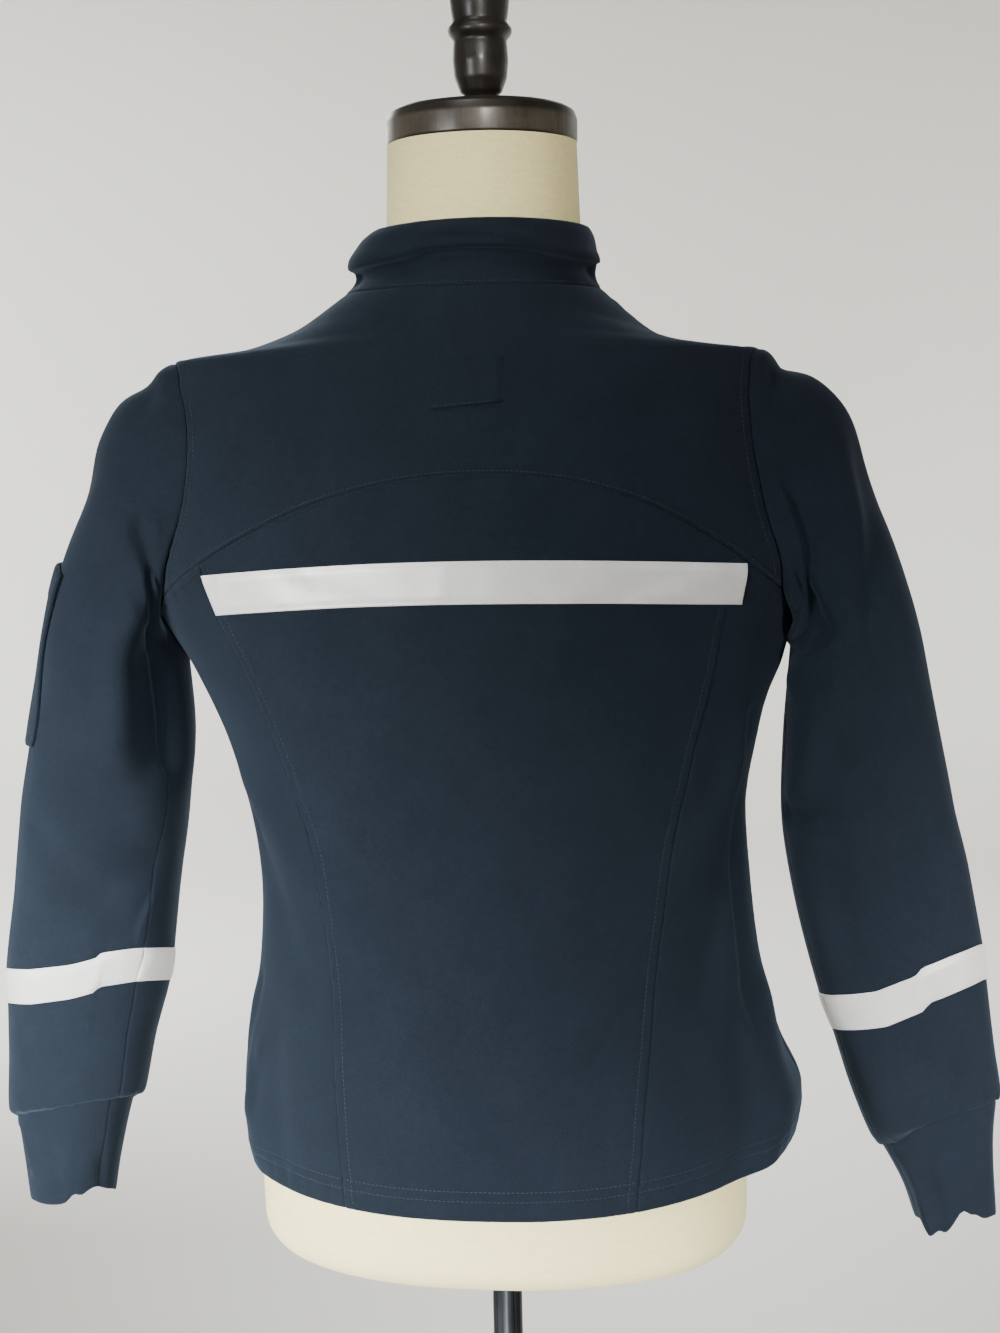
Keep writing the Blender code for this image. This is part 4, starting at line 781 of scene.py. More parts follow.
# The backdrop's profile: radius and height
BACKDROP = ((0.0005, -0.001), (2.6, -0.001), (4.2, -0.001), (4.9, 0.12), (5.35, 0.5), (5.6, 1.1),
            (5.7, 2.0), (5.7, 4.5))

# The light: the room's own, and the lamps, each a name, place, aim, size, power, spread
# in degrees and colour
ROOM_COLOUR = (1.0, 0.99, 0.96)
ROOM_STRENGTH = 0.10
LAMPS = (
    ("Key", (1.15, 1.10, 1.00), (0.52, 0, 0.79), 1.0, 14.5, 42, (0.97, 0.99, 1.0)),
    ("Low", (-0.10, 1.20, 0.70), (-0.08, 0, 0.57), 0.5, 1.9, 29, (0.98, 0.99, 1.0)),
    ("Side", (-1.20, 1.00, 1.10), (-0.54, 0, 0.96), 0.5, 2.9, 30, (0.99, 0.99, 1.0)),
    ("Fill", (-0.45, 1.50, 0.95), (0.42, 0, 0.92), 0.4, 1.3, 22, (0.97, 0.99, 1.0)),
    ("Neck", (-0.35, 1.7, 1.75), (0, 0, 1.47), 0.3, 0.22, 12, (1.0, 0.97, 0.90)),
    ("Top", (0.25, 0.75, 2.7), (0.05, 0, 1.36), 0.4, 0.9, 70, (1, 1, 1)),
    ("Front", (0.9, -1.9, 1.7), (0, 0, 1.1), 1.2, 20, 180, (1, 1, 1)),
    ("Wall left", (2.0, -2.2, 2.0), (2.4, -5.6, 0.7), 1.6, 140, 180, (1, 1, 0.98)),
    ("Wall right", (-2.4, -2.2, 2.0), (-1.6, -5.6, 0.7), 1.6, 66, 180, (1, 1, 0.98)),
    ("Floor", (0.0, -2.4, 2.4), (0, -3.0, 0), 1.6, 40, 180, (1, 1, 0.98)),
)


def ease(x):
    """A soft step from 0 to 1."""
    return x * x * (3 - 2 * x)


def hermite(start, start_slope, end, end_slope, t):
    """A curve from start to end with given slopes there."""
    return (
        start * (2 * t**3 - 3 * t**2 + 1)
        + start_slope * (t**3 - 2 * t**2 + t)
        + end * (3 * t**2 - 2 * t**3)
        + end_slope * (t**3 - t**2)
    )


def run_along(line):
    """How far each point of a line lies from its first one, along it."""
    return np.concatenate([[0], np.cumsum(np.linalg.norm(np.diff(line, axis=0), axis=1))])


def closed(grid):
    """A ring's grid with its first column once more at its end."""
    return np.concatenate([grid, grid[:, :1]], axis=1)


def smooth(values, at):
    """Reads evenly spaced values at fractions between them, with no overshoot."""
    y = np.asarray(values, float)
    step = np.diff(y)
    slope = np.zeros(len(y))
    slope[0], slope[-1] = step[0], step[-1]
    same = step[:-1] * step[1:] > 0
    both = np.where(same, step[:-1] + step[1:], 1.0)
    slope[1:-1] = np.where(same, 2 * step[:-1] * step[1:] / both, 0.0)
    at = np.asarray(at, float)
    i = np.clip(np.floor(at).astype(int), 0, len(y) - 2)
    t = np.clip(at - i, 0.0, 1.0)
    return hermite(y[i], slope[i], y[i + 1], slope[i + 1], t)


def row_at(table, at):
    """The table's rows at fractions between its rows, with every number smoothed."""
    kind = type(table[0])
    names = [name for name in kind._fields if name != "name"]
    values = {name: smooth([getattr(row, name) for row in table], at) for name in names}
    return kind(**values, **({"name": ""} if "name" in kind._fields else {}))


def level_at(z):
    """The body's level, as a fraction between rows, whose back is at this height."""
    heights = [row.z_back for row in BODY]
    return np.interp(z, heights, range(len(heights)))


def section_point(row, angle):
    """Points of body or collar rings. Angles run from the wearer's left by the back."""
    c, s = np.cos(angle), np.sin(angle)
    side, side_z = np.where(c >= 0, row.left, row.right), np.where(c >= 0, row.z_left, row.z_right)
    depth, depth_z = np.where(s >= 0, row.back, row.front), np.where(s >= 0, row.z_back, row.z_front)
    power = 2 / row.square
    x = np.sign(c) * side * np.abs(c) ** power
    y = np.sign(s) * depth * np.abs(s) ** power
    return np.stack([x, y, side_z * c * c + depth_z * s * s], axis=-1)


def fold_lift(folds, across, along, degree):
    """How far the folds push the cloth out at angles in degrees and places along it."""
    p = np.stack(np.broadcast_arrays(across * degree, along), axis=-1)
    total = np.zeros(p.shape[:-1])
    for f in folds:
        a = np.array([f.angle_0 * degree, f.at_0])
        b = np.array([f.angle_1 * degree, f.at_1])
        t = np.clip((p - a) @ (b - a) / max((b - a) @ (b - a), 1e-9), 0, 1)
        away = np.linalg.norm(p - a - t[..., None] * (b - a), axis=-1)
        total += f.lift * np.exp(-((away / f.breadth) ** 2))
    return total


def crease_lift(creases, across, along, degree, down=False):
    """How far the sharp creases push the cloth out. With down, places run down the cloth."""
    flip = -1 if down else 1
    px, py = np.broadcast_arrays(across * degree, along * flip)
    total = np.zeros(px.shape)
    for c in creases:
        line = np.array(c.line, float) * (degree, flip)
        steps = np.linalg.norm(np.diff(line, axis=0), axis=1)
        run = run_along(line)
        reach = CREASE_REACH * max(c.steep, c.soft)
        low, high = line.min(axis=0) - reach, line.max(axis=0) + reach
        near = (px > low[0]) & (px < high[0]) & (py > low[1]) & (py < high[1])
        x, y = px[near], py[near]
        best = np.full(x.shape, 1e9)
        signed, place = np.zeros(x.shape), np.zeros(x.shape)
        for k, size in enumerate(steps):
            way = (line[k + 1] - line[k]) / size
            ox, oy = x - line[k, 0], y - line[k, 1]
            t = np.clip(ox * way[0] + oy * way[1], 0, size)
            away = np.hypot(ox - t * way[0], oy - t * way[1])
            closer = away < best
            side = np.sign(way[0] * oy - way[1] * ox)
            best = np.where(closer, away, best)
            signed = np.where(closer, side * away, signed)
            place = np.where(closer, (run[k] + t) / run[-1], place)
        soft = np.exp(-((signed / c.soft) ** 2))
        hollow = np.exp(-((signed / (HOLLOW_WIDE * c.soft)) ** 2))
        steep = (1 + c.dip) * np.exp(-((signed / c.steep) ** 2)) - c.dip * hollow
        fade = min(CREASE_FADE / run[-1], CREASE_FADE_SHARE)
        ends = np.clip(np.minimum(place, 1 - place) / fade, 0, 1)
        total[near] += c.lift * np.where(signed < 0, soft, steep) * ease(ends)
    return total


def unit(vectors):
    return vectors / np.maximum(np.linalg.norm(vectors, axis=-1, keepdims=True), 1e-12)


def ring_cloth(table, angle, level, folds=(), creases=()):
    """The outer points and the outward normals of cloth that follows a table of rings."""
    angle, level = np.broadcast_arrays(angle, level)
    step = 1e-3
    top = len(table) - 1
    row = row_at(table, level)
    around = section_point(row, angle + step) - section_point(row, angle - step)
    up = section_point(row_at(table, np.minimum(level + step, top)), angle)
    up = up - section_point(row_at(table, np.maximum(level - step, 0)), angle)
    normal = unit(np.cross(around, up))
    point = section_point(row, angle)
    degrees = np.degrees(angle) % 360
    lift = fold_lift(folds, degrees, point[..., 2], BODY_DEGREE)
    if creases:
        lift = lift + crease_lift(creases, degrees, point[..., 2], BODY_DEGREE)
    return point + normal * lift[..., None], normal


def body_cloth(angle, level):
    return ring_cloth(BODY, angle, level, BODY_FOLDS + BODY_SOFT, BODY_CREASES)


def angle_at_x(row, x, back=True):
    """The angle at which a ring is this far to the left or, below 0, to the right."""
    side = np.where(x >= 0, row.left, row.right)
    turn = np.arccos(np.minimum(np.abs(x) / side, 1.0) ** (row.square / 2))
    turn = np.where(x >= 0, turn, math.pi - turn)
    return turn if back else -turn


def armhole(u, side, back):
    """(angle, level) on the armhole, from the underarm at u = 0 to the shoulder tip at u = 1."""
    low, high = BODY[UNDERARM].z_left, BODY[TIP].z_left
    z = low + (high - low) * (1 - np.cos(math.pi * np.asarray(u, float))) / 2
    level = np.interp(z, [row.z_left for row in BODY], range(len(BODY)))
    row = row_at(BODY, level)
    breadth = ARMHOLE_BACK if back else ARMHOLE_FRONT
    depth = row.back if back else row.front
    y = breadth * np.maximum(np.sin(math.pi * u), 0.0) ** ARMHOLE_ROUND
    turn = np.arcsin(np.minimum(y / depth, 1.0) ** (row.square / 2))
    turn = turn if side > 0 else math.pi - turn
    return (turn if back else -turn), level


def side_angle(side):
    return 0.0 if side > 0 else math.pi


def yoke_height(x):
    """The height of the curved yoke seam at distances from the centre back."""
    ends = []
    for side in (1, -1):
        angle, level = armhole(YOKE_END, side, True)
        ends.append(section_point(row_at(BODY, level), angle))
    left = YOKE_TOP - (YOKE_TOP - ends[0][2]) * np.abs(x / ends[0][0]) ** YOKE_FALL_LEFT
    right = YOKE_TOP - (YOKE_TOP - ends[1][2]) * np.abs(x / ends[1][0]) ** YOKE_FALL_RIGHT
    return np.where(x > 0, left, right)


def yoke_level(angle):
    """The level of the yoke seam at angles round the back."""
    level = np.full(np.shape(angle), level_at(YOKE_TOP))
    for _ in range(30):
        x = section_point(row_at(BODY, level), angle)[..., 0]
        level = 0.5 * (level + level_at(yoke_height(x)))
    return level


def seam_foot(side):
    """(angle, level) of the shaping seam at the level of the bust."""
    return princess_angle(BUST, side), BUST


def seam_top(side):
    """(angle, level) where the shaping seam ends on the yoke seam."""
    x = PRINCESS_TOP_LEFT if side > 0 else -PRINCESS_TOP_RIGHT
    level = level_at(yoke_height(x))
    angle = angle_at_x(row_at(BODY, level), x)
    return angle, yoke_level(angle)


def princess_angle(level, side):
    """The angle of the shaping seam up to the bust, by its table."""
    row = row_at(BODY, level)
    heights = [p.z for p in PRINCESS]
    columns = [p.left if side > 0 else p.right for p in PRINCESS]
    x = smooth(columns, np.interp(row.z_back, heights, range(len(heights))))
    return angle_at_x(row, side * x)


def mix(a, b, t):
    return a + (b - a) * t


def tape_place(share, edge):
    """(angle, level) on an edge of the back tape, at shares of the way from left to right."""
    level = np.full(np.shape(share), level_at(TAPE_LOW + edge))
    seams = [(seam_foot(side), seam_top(side)) for side in (1, -1)]
    for _ in range(12):
        ends = []
        for (foot_angle, foot), (top_angle, top) in seams:
            climb = np.minimum((level - foot) / (top - foot), 1.0)
            ends.append(mix(foot_angle, top_angle, climb))
        angle = mix(*ends, share)
        x = section_point(row_at(BODY, level), angle)[..., 0]
        end = np.where(x < 0, PRINCESS_TOP_RIGHT, PRINCESS_TOP_LEFT)
        droop = np.where(x < 0, TAPE_DROOP_RIGHT, TAPE_DROOP_LEFT)
        level = level_at(TAPE_LOW + edge - droop * (x / end) ** 2)
    return angle, level


def blended(knots, at):
    """Places on lines between rows of (angle, level) knots: at runs down the knots' rows."""
    angles = np.array([np.broadcast_arrays(*k)[0] for k in knots])
    levels = np.array([np.broadcast_arrays(*k)[1] for k in knots])
    i = np.clip(np.floor(at).astype(int), 0, len(knots) - 2)
    t = (at - i)[:, None]
    return mix(angles[i], angles[i + 1], t), mix(levels[i], levels[i + 1], t)


def middle_back_places(low_rows, knot_rows, shares):
    """The middle back panel: rows from 0 to 1 below the bust, then from 0 at the bust to 1 and 2 at
    the tape's edges and 3 at the yoke seam, shares from the left."""
    low = (BUST * low_rows)[:, None]
    ends = [princess_angle(low, side) for side in (1, -1)]
    low_angle = mix(*ends, shares[None])
    low_level = np.broadcast_to(low, low_angle.shape)
    foot = [seam_foot(side)[0] for side in (1, -1)]
    head = mix(*[seam_top(side)[0] for side in (1, -1)], shares)
    knots = [(mix(*foot, shares), BUST), tape_place(shares, 0), tape_place(shares, TAPE_WIDTH)]
    knots.append((head, yoke_level(head)))
    angle, level = blended(knots, knot_rows)
    return np.concatenate([low_angle, angle]), np.concatenate([low_level, level])


def side_back_places(side, rows, shares):
    """The panel between side seam and shaping seam, its shares from the side seam."""
    start = side_angle(side)
    low = mix(0, BUST, rows[rows <= SIDE_BREAK] / SIDE_BREAK)[:, None]
    low_angle = mix(start, princess_angle(low, side), shares[None])
    foot_angle = mix(start, princess_angle(BUST, side), shares)
    arc = shares <= ARC_SHARE
    on_arc = armhole(YOKE_END * shares[arc] / ARC_SHARE, side, True)
    end = armhole(YOKE_END, side, True)[0]
    onward = mix(end, seam_top(side)[0], (shares[~arc] - ARC_SHARE) / (1 - ARC_SHARE))
    head_angle = np.concatenate([on_arc[0], onward])
    head_level = np.concatenate([on_arc[1], yoke_level(onward)])
    climb = ((rows[rows > SIDE_BREAK] - SIDE_BREAK) / (1 - SIDE_BREAK))[:, None]
    angle = mix(foot_angle, head_angle, climb)
    level = mix(BUST, head_level, climb)
    low_level = np.broadcast_to(low, low_angle.shape)
    return np.concatenate([low_angle, angle]), np.concatenate([low_level, level])


def yoke_places(rows, shares):
    """The yoke: rows from 0 at its curved seam to 1 at the neck, shares from the left armhole."""
    ends = [armhole(YOKE_END, side, True) for side in (1, -1)]
    foot = yoke_level(mix(ends[0][0], ends[1][0], shares))
    on_arc = rows <= YOKE_BREAK
    u = mix(YOKE_END, 1, rows[on_arc] / YOKE_BREAK)[:, None]
    (left, level), (right, _) = (armhole(u, side, True) for side in (1, -1))
    climb = (level - ends[0][1]) / (TIP - ends[0][1])
    angle, level = mix(left, right, shares), mix(foot, TIP, climb)
    above = mix(TIP, NECK, (rows[~on_arc] - YOKE_BREAK) / (1 - YOKE_BREAK))[:, None]
    over = np.broadcast_to(math.pi * shares, (len(above), len(shares)))
    above = np.broadcast_to(above, over.shape)
    return np.concatenate([angle, over]), np.concatenate([level, above])


def front_places(side, rows, shares):
    """A front: rows from 0 at the hem to 1 at the neck, shares from the zip outwards."""
    low, arm = FRONT_BREAKS
    start = side_angle(side)
    below = mix(0, UNDERARM, rows[rows <= low] / low)
    on_arm = (rows > low) & (rows <= arm)
    turn, level = armhole((rows[on_arm] - low) / (arm - low), side, False)
    above = mix(TIP, NECK, (rows[rows > arm] - arm) / (1 - arm))
    level = np.concatenate([below, level, above])[:, None]
    outer = np.concatenate([np.full(len(below), -start), turn, np.full(len(above), -start)])
    zip_edge = angle_at_x(row_at(BODY, level), side * ZIP_WIDTH / 2, back=False)
    angle = mix(zip_edge, outer[:, None], shares[None])
    return angle, np.broadcast_to(level, angle.shape)


def armhole_loop(side, back_u, front_u):
    """The armhole's outer points and the body's normals there, from the underarm up the back to
    the shoulder tip and down the front."""
    places = [armhole(back_u, side, True), armhole(front_u, side, False)]
    angle = np.concatenate([p[0] for p in places])
    level = np.concatenate([p[1] for p in places])
    return body_cloth(angle, level)


def loop_angles(loop, tip):
    """Each point's angle round the sleeve: 0 at the underarm, a half turn at the tip."""
    run = run_along(np.concatenate([loop, loop[:1]]))
    back = math.pi * run[: tip + 1] / run[tip]
    front = math.pi + math.pi * (run[tip:-1] - run[tip]) / (run[-1] - run[tip])
    return np.concatenate([back, front[1:]])


def sleeve_rings(table, at, angles, side, wave=0.0):
    """Rings of points round sections of a sleeve or cuff, at fractions between its rows."""
    row = row_at(table, np.asarray(at, float)[:, None])
    angles = np.atleast_2d(angles)
    lift, pitch = np.radians(row.lift), np.radians(row.pitch)
    power = 2 / SLEEVE_SQUARE
    c, s = -np.cos(angles), np.sin(angles)
    wide = row.wide * np.sign(c) * np.abs(c) ** power
    deep = row.deep * np.sign(s) * np.abs(s) ** power
    dip = wave * np.sin(2 * angles + 0.6) * np.cos(angles - 0.4)
    x = side * (row.out + wide * np.cos(lift))
    y = row.y + deep * np.cos(pitch)
    z = row.z + wide * np.sin(lift) + deep * np.sin(pitch) + dip
    return np.stack([x, y, z], axis=-1)


def tube_normals(grid, side):
    """Outward normals of a tube's rings, which run down it, from the points round each one."""
    around = np.roll(grid, -1, axis=1) - np.roll(grid, 1, axis=1)
    along = np.gradient(grid, axis=0)
    return unit(np.cross(around, along) * side)


def sleeve_grid(table, side, folds, creases, seam, columns, cap_shares, arm_places):
    """A sleeve's rings from the armhole down, its columns running along the seam, with each
    point's angle and each ring's distance down the sleeve."""
    back_u = np.linspace(0, 1, LOOP_POINTS // 2 + 1)
    front_u = np.linspace(1, 0, LOOP_POINTS // 2 + 1)[1:-1]
    loop, _ = armhole_loop(side, back_u, front_u)
    around = loop_angles(loop, len(back_u) - 1)
    first = sleeve_rings(table, [0], around, side)[0]
    onward = unit(sleeve_rings(table, [0.2], around, side)[0] - first)
    height = ((1 - np.cos(around)) / 2)[:, None]
    mirror = np.array([side, 1, 1])
    leave = unit(mix(np.array(LEAVE_UNDERARM) * mirror, np.array(LEAVE_TIP) * mirror, height))
    chord = np.linalg.norm(first - loop, axis=1, keepdims=True)
    places = np.concatenate([CAP_LENGTH * cap_shares[:-1], CAP_LENGTH + SECTION_LENGTH * arm_places])
    starts = np.interp(places, [at for _, at in seam], [angle for angle, _ in seam])
    angles = np.radians(starts)[:, None] + 2 * math.pi * columns[None]

    def at_angles(values, angles):
        full = np.append(around, 2 * math.pi)
        turns = angles % (2 * math.pi)
        return np.stack([np.interp(turns, full, np.append(v, v[0])) for v in values.T], axis=-1)

    t = cap_shares[:-1, None, None]
    turns = angles[: len(t)]
    ends = (loop, leave * chord * CAP_START, first, onward * chord * CAP_END)
    cap = hermite(*[at_angles(values, turns) for values in ends], t)
    grid = np.concatenate([cap, sleeve_rings(table, arm_places, angles[len(t):], side)])
    start = np.minimum(places / (CAP_LENGTH * FOLDS_START), 1.0)[:, None]
    degrees = np.degrees(angles) % 360
    lift = fold_lift(folds, degrees, places[:, None], SLEEVE_DEGREE)
    lift = lift + crease_lift(creases, degrees, places[:, None], SLEEVE_DEGREE, down=True)
    grid = grid + tube_normals(grid, side) * (lift * start)[..., None]
    return grid, places, angles


def lengths(grid, axis):
    """How far each point of a grid lies from its first row or column, along the cloth."""
    step = np.linalg.norm(np.diff(grid, axis=axis), axis=-1)
    pad = [(0, 0), (0, 0)]
    pad[axis] = (1, 0)
    return np.pad(np.cumsum(step, axis=axis), pad)


def from_edge(grid, edge):
    """How far each point lies from one edge of a grid, and how far along it."""
    across = edge in ("start", "end")
    g = np.swapaxes(grid, 0, 1) if across else grid
    g = g[::-1] if edge in ("head", "end") else g
    away = lengths(g, 0)
    run = run_along(g[0])
    rows = 1 + int(np.searchsorted(away.min(axis=1), NEAR))
    best = np.full(g[:rows].shape[:2], 1e9)
    along = np.broadcast_to(run, best.shape).copy()
    count = g.shape[1]
    for offset in range(-LOOK_ASIDE, LOOK_ASIDE + 1):
        first = np.clip(np.arange(count) + offset, 0, count - 2)
        start, way = g[0, first], g[0, first + 1] - g[0, first]
        size = np.maximum((way**2).sum(axis=-1), 1e-16)
        t = np.clip(((g[:rows] - start) * way).sum(axis=-1) / size, 0, 1)
        far = np.linalg.norm(g[:rows] - start - t[..., None] * way, axis=-1)
        closer = far < best
        best = np.where(closer, far, best)
        along = np.where(closer, run[first] + t * np.sqrt(size), along)
    away[:rows] = best
    place = np.broadcast_to(run, away.shape).copy()
    place[:rows] = along
    if edge in ("head", "end"):
        away, place = away[::-1], place[::-1]
    return (away.T, place.T) if across else (away, place)


def grid_normals(grid, ring=False):
    """Outward normals of a grid whose rows run up and columns run to the right, seen from
    outside."""
    if ring:
        around = np.roll(grid, -1, axis=1) - np.roll(grid, 1, axis=1)
    else:
        around = np.gradient(grid, axis=1)
    return unit(np.cross(around, np.gradient(grid, axis=0)))


def ripple(run, seed, wave=0.012):
    """An uneven ripple, from -1 to 1, along a seam."""
    turn = 2 * math.pi * run / wave
    waves = np.sin(turn + seed) + 0.7 * np.sin(turn * 0.618 + 2.3 * seed)
    return (waves + 0.5 * np.sin(turn * 1.73 + 0.7 * seed)) / 2.2


def edge_lift(edge, away, run, seed):
    """How far a seam or hem pushes the cloth out, at distances from it and along it."""
    lift = -edge.groove * np.exp(-((away / edge.groove_wide) ** 2))
    if edge.raised:
        lift = lift + edge.raised * ease(np.clip((edge.reach - away) / STEP_SOFT + 0.5, 0, 1))
    for stitch in edge.stitches:
        depth = STITCH_DEPTH + STITCH_UNEVEN * np.cos(2 * math.pi * run / STITCH)
        lift = lift - depth * np.exp(-(((away - stitch) / STITCH_WIDE) ** 2))
    fade = np.exp(-((away - edge.reach * 0.5) / PUCKER_WIDE) ** 2)
    return lift + edge.pucker * ripple(run, seed) * fade


def soft_waves(points, seed, height=WAVE_HEIGHT):
    """A faint unevenness all over, as worn cloth has."""
    rng = np.random.default_rng(seed)
    total = np.zeros(points.shape[:-1])
    for wave in WAVES:
        way = unit(rng.normal(size=3))
        total += wave * np.sin(2 * math.pi * (points @ way) / wave + rng.uniform(0, 6.28))
    return total / sum(WAVES) * height


def dressed(grid, edges, seed, ring=False, height=WAVE_HEIGHT):
    """A grid with its seams, hems and faint unevenness worked into it."""
    lift = soft_waves(grid, seed, height)
    whole = closed(grid) if ring else grid
    for k, (name, edge) in enumerate(edges.items()):
        away, run = from_edge(whole, name)
        added = edge_lift(edge, away, run, seed + k)
        lift = lift + (added[:, :-1] if ring else added)
    return grid + grid_normals(grid, ring) * lift[..., None]


def quads(index):
    """Faces of four corners between the rows and columns of a grid of points' numbers."""
    corners = (index[:-1, :-1], index[:-1, 1:], index[1:, 1:], index[1:, :-1])
    return np.stack(corners, axis=-1).reshape(-1, 4)


def ring_quads(rings, count):
    """Faces between rings of equally many points."""
    return quads(closed(np.arange(rings * count).reshape(rings, count)))


def new_mesh(name, points, faces, uvs=None, smooth_angle=None):
    """A mesh from arrays: points, faces of 3 or 4 corners and, with uvs, a place for each point."""
    faces = [np.asarray(f, np.int32) for f in (faces if isinstance(faces, list) else [faces])]
    corners = np.concatenate([f.ravel() for f in faces])
    totals = np.concatenate([np.full(len(f), f.shape[1], np.int32) for f in faces])
    mesh = bpy.data.meshes.new(name)
    mesh.vertices.add(len(points))
    mesh.vertices.foreach_set("co", np.asarray(points, np.float32).ravel())
    mesh.loops.add(len(corners))
    mesh.loops.foreach_set("vertex_index", corners)
    mesh.polygons.add(len(totals))
    starts = np.concatenate([[0], np.cumsum(totals)[:-1]])
    mesh.polygons.foreach_set("loop_start", starts.astype(np.int32))
    if uvs is not None:
        layer = mesh.uv_layers.new(name="Cloth")
        layer.data.foreach_set("uv", np.asarray(uvs, np.float32)[corners].ravel())
    mesh.update(calc_edges=True)
    mesh.validate()
    mesh.shade_smooth()
    if smooth_angle:
        mesh.set_sharp_from_angle(angle=math.radians(smooth_angle))
    return mesh


def add_piece(name, mesh, look, body=JACKET, stands_for=(), slot=None):
    """A piece of the object: it rides on a body and stands for its CAD nodes."""
    made = bpy.data.objects.new(name, mesh)
    bpy.context.scene.collection.objects.link(made)
    mesh.materials.append(look)
    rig.ride(made, body)
    if stands_for:
        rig.replaces(made, *stands_for)
    if slot:
        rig.slot(made, slot)
    return made


def shell_mesh(name, outer, thick, ring=False):
    """A closed thin wall from a grid of outer points."""
    inner = outer - grid_normals(outer, ring) * thick
    rows, columns = outer.shape[:2]
    count = rows * columns
    index = np.arange(count).reshape(rows, columns)
    if ring:
        index = closed(index)
    front = quads(index)
    back = front[:, ::-1] + count
    rims = [(index[0, 1:], index[0, :-1]), (index[-1, :-1], index[-1, 1:])]
    if not ring:
        rims += [(index[:-1, 0], index[1:, 0]), (index[1:, -1], index[:-1, -1])]
    sides = [np.stack([p, q, q + count, p + count], axis=-1) for p, q in rims]
    faces = np.concatenate([front, back] + sides)
    across = lengths(closed(outer) if ring else outer, 1)
    across = across / across[:, -1:] * across[:, -1].mean()
    uv = np.stack([across[:, :columns], lengths(outer, 0)], axis=-1).reshape(-1, 2)
    points = np.concatenate([outer.reshape(-1, 3), inner.reshape(-1, 3)])
    return new_mesh(name, points, faces, np.concatenate([uv, uv]))


def flat_size(outer, ring=False):
    """A grid's width, length and area when it is laid flat."""
    grid = closed(outer) if ring else outer
    crossed = np.cross(grid[1:, 1:] - grid[:-1, :-1], grid[1:, :-1] - grid[:-1, 1:])
    area = 0.5 * np.linalg.norm(crossed, axis=-1).sum()
    return lengths(grid, 1)[:, -1].max(), lengths(grid, 0)[-1].max(), area


def with_allowances(outer, thick, edges, ring=False):
    """A grid with strips added that reach below the pieces beyond some of its edges."""
    drop = -grid_normals(outer, ring) * (thick + ALLOWANCE_GAP)
    for edge in edges:
        axis = 0 if edge in ("foot", "head") else 1
        last, before = (0, 2) if edge in ("foot", "start") else (-1, -3)
        line = np.take(outer, last, axis)
        low = np.take(drop, last, axis)
        onward = unit(line - np.take(outer, before, axis))
        rows = [line + low * share + onward * beyond for share, beyond in ALLOWANCE_ROWS]
        rows = np.stack(rows if last else rows[::-1], axis=axis)
        ends = np.repeat(np.take(drop, [last], axis), len(ALLOWANCE_ROWS), axis)
        outer = np.concatenate((outer, rows) if last else (rows, outer), axis=axis)
        drop = np.concatenate((drop, ends) if last else (ends, drop), axis=axis)
    return outer


SHEETS = []


def add_cloth(part, look, outer, thick, held, rests_on, piece=None, ring=False, allowances=()):
    outer = with_allowances(outer, thick, allowances, ring)
    name = piece or part + "_cloth"
    slot = "tape" if look == "tape" else "cloth"
    made = add_piece(name, shell_mesh(name, outer, thick, ring), LOOKS[look], JACKET, [part], slot)
    width, length, area = flat_size(outer, ring)
    SHEETS.append((made, (width, length), min(area, width * length), held, [rests_on]))


def thread(name, lines, look, radius=THREAD_RADIUS, slot="cloth"):
    """Stitches along lines, each a list of points and the cloth's normals there."""
    centres, ways, outs = [], [], []
    for line, normals in lines:
        run = run_along(line)
        middle = (np.arange(int(run[-1] / STITCH)) + 0.5) * STITCH

        def along(values, at):
            return np.stack([np.interp(at, run, values[:, i]) for i in range(3)], axis=-1)

        low, high = along(line, middle - STITCH_LONG / 2), along(line, middle + STITCH_LONG / 2)
        centres.append((low + high) / 2)
        ways.append(unit(high - low))
        outs.append(unit(along(normals, middle)))
    centre, way, out = (np.concatenate(v)[:, None] for v in (centres, ways, outs))
    beside = np.cross(way, out)
    turns = 2 * math.pi * np.arange(STITCH_SIDES) / STITCH_SIDES
    spokes = beside * np.cos(turns)[None, :, None] + out * np.sin(turns)[None, :, None]
    rings = [centre + way * place * STITCH_LONG + out * rise * radius + spokes * radius * size
             for place, size, rise in STITCH_RINGS]
    points = np.stack(rings, axis=1).reshape(-1, 3)
    each = STITCH_SIDES * len(STITCH_RINGS)
    j = np.arange(STITCH_SIDES)
    caps = np.stack([j[::-1], j + each - STITCH_SIDES])
    first = (np.arange(len(points) // each) * each)[:, None, None]
    faces = [first + ring_quads(len(STITCH_RINGS), STITCH_SIDES), first + caps]
    mesh = new_mesh(name, points, [f.reshape(-1, f.shape[-1]) for f in faces])
    return add_piece(name, mesh, look, slot=slot)


def line_on(outer, edge, away, ring=False, trim=0.0):
    """A line that runs at a distance from a grid's edge, on its surface, with its normals."""
    normals = grid_normals(outer, ring)
    far, _ = from_edge(outer, edge)
    axis = 0 if edge in ("foot", "head") else 1
    points, ups = [], []
    for k in range(outer.shape[1 - axis]):
        lane = np.s_[:, k] if axis == 0 else np.s_[k]
        order = np.argsort(far[lane])
        d = far[lane][order]
        if d[-1] > away:
            points.append([np.interp(away, d, outer[lane][order, i]) for i in range(3)])
            ups.append([np.interp(away, d, normals[lane][order, i]) for i in range(3)])
    points, ups = np.array(points), unit(np.array(ups))
    if ring:
        points, ups = np.concatenate([points, points[:1]]), np.concatenate([ups, ups[:1]])
    if trim:
        reach = run_along(points)
        kept = (reach > trim) & (reach < reach[-1] - trim)
        points, ups = points[kept], ups[kept]
    return points, ups


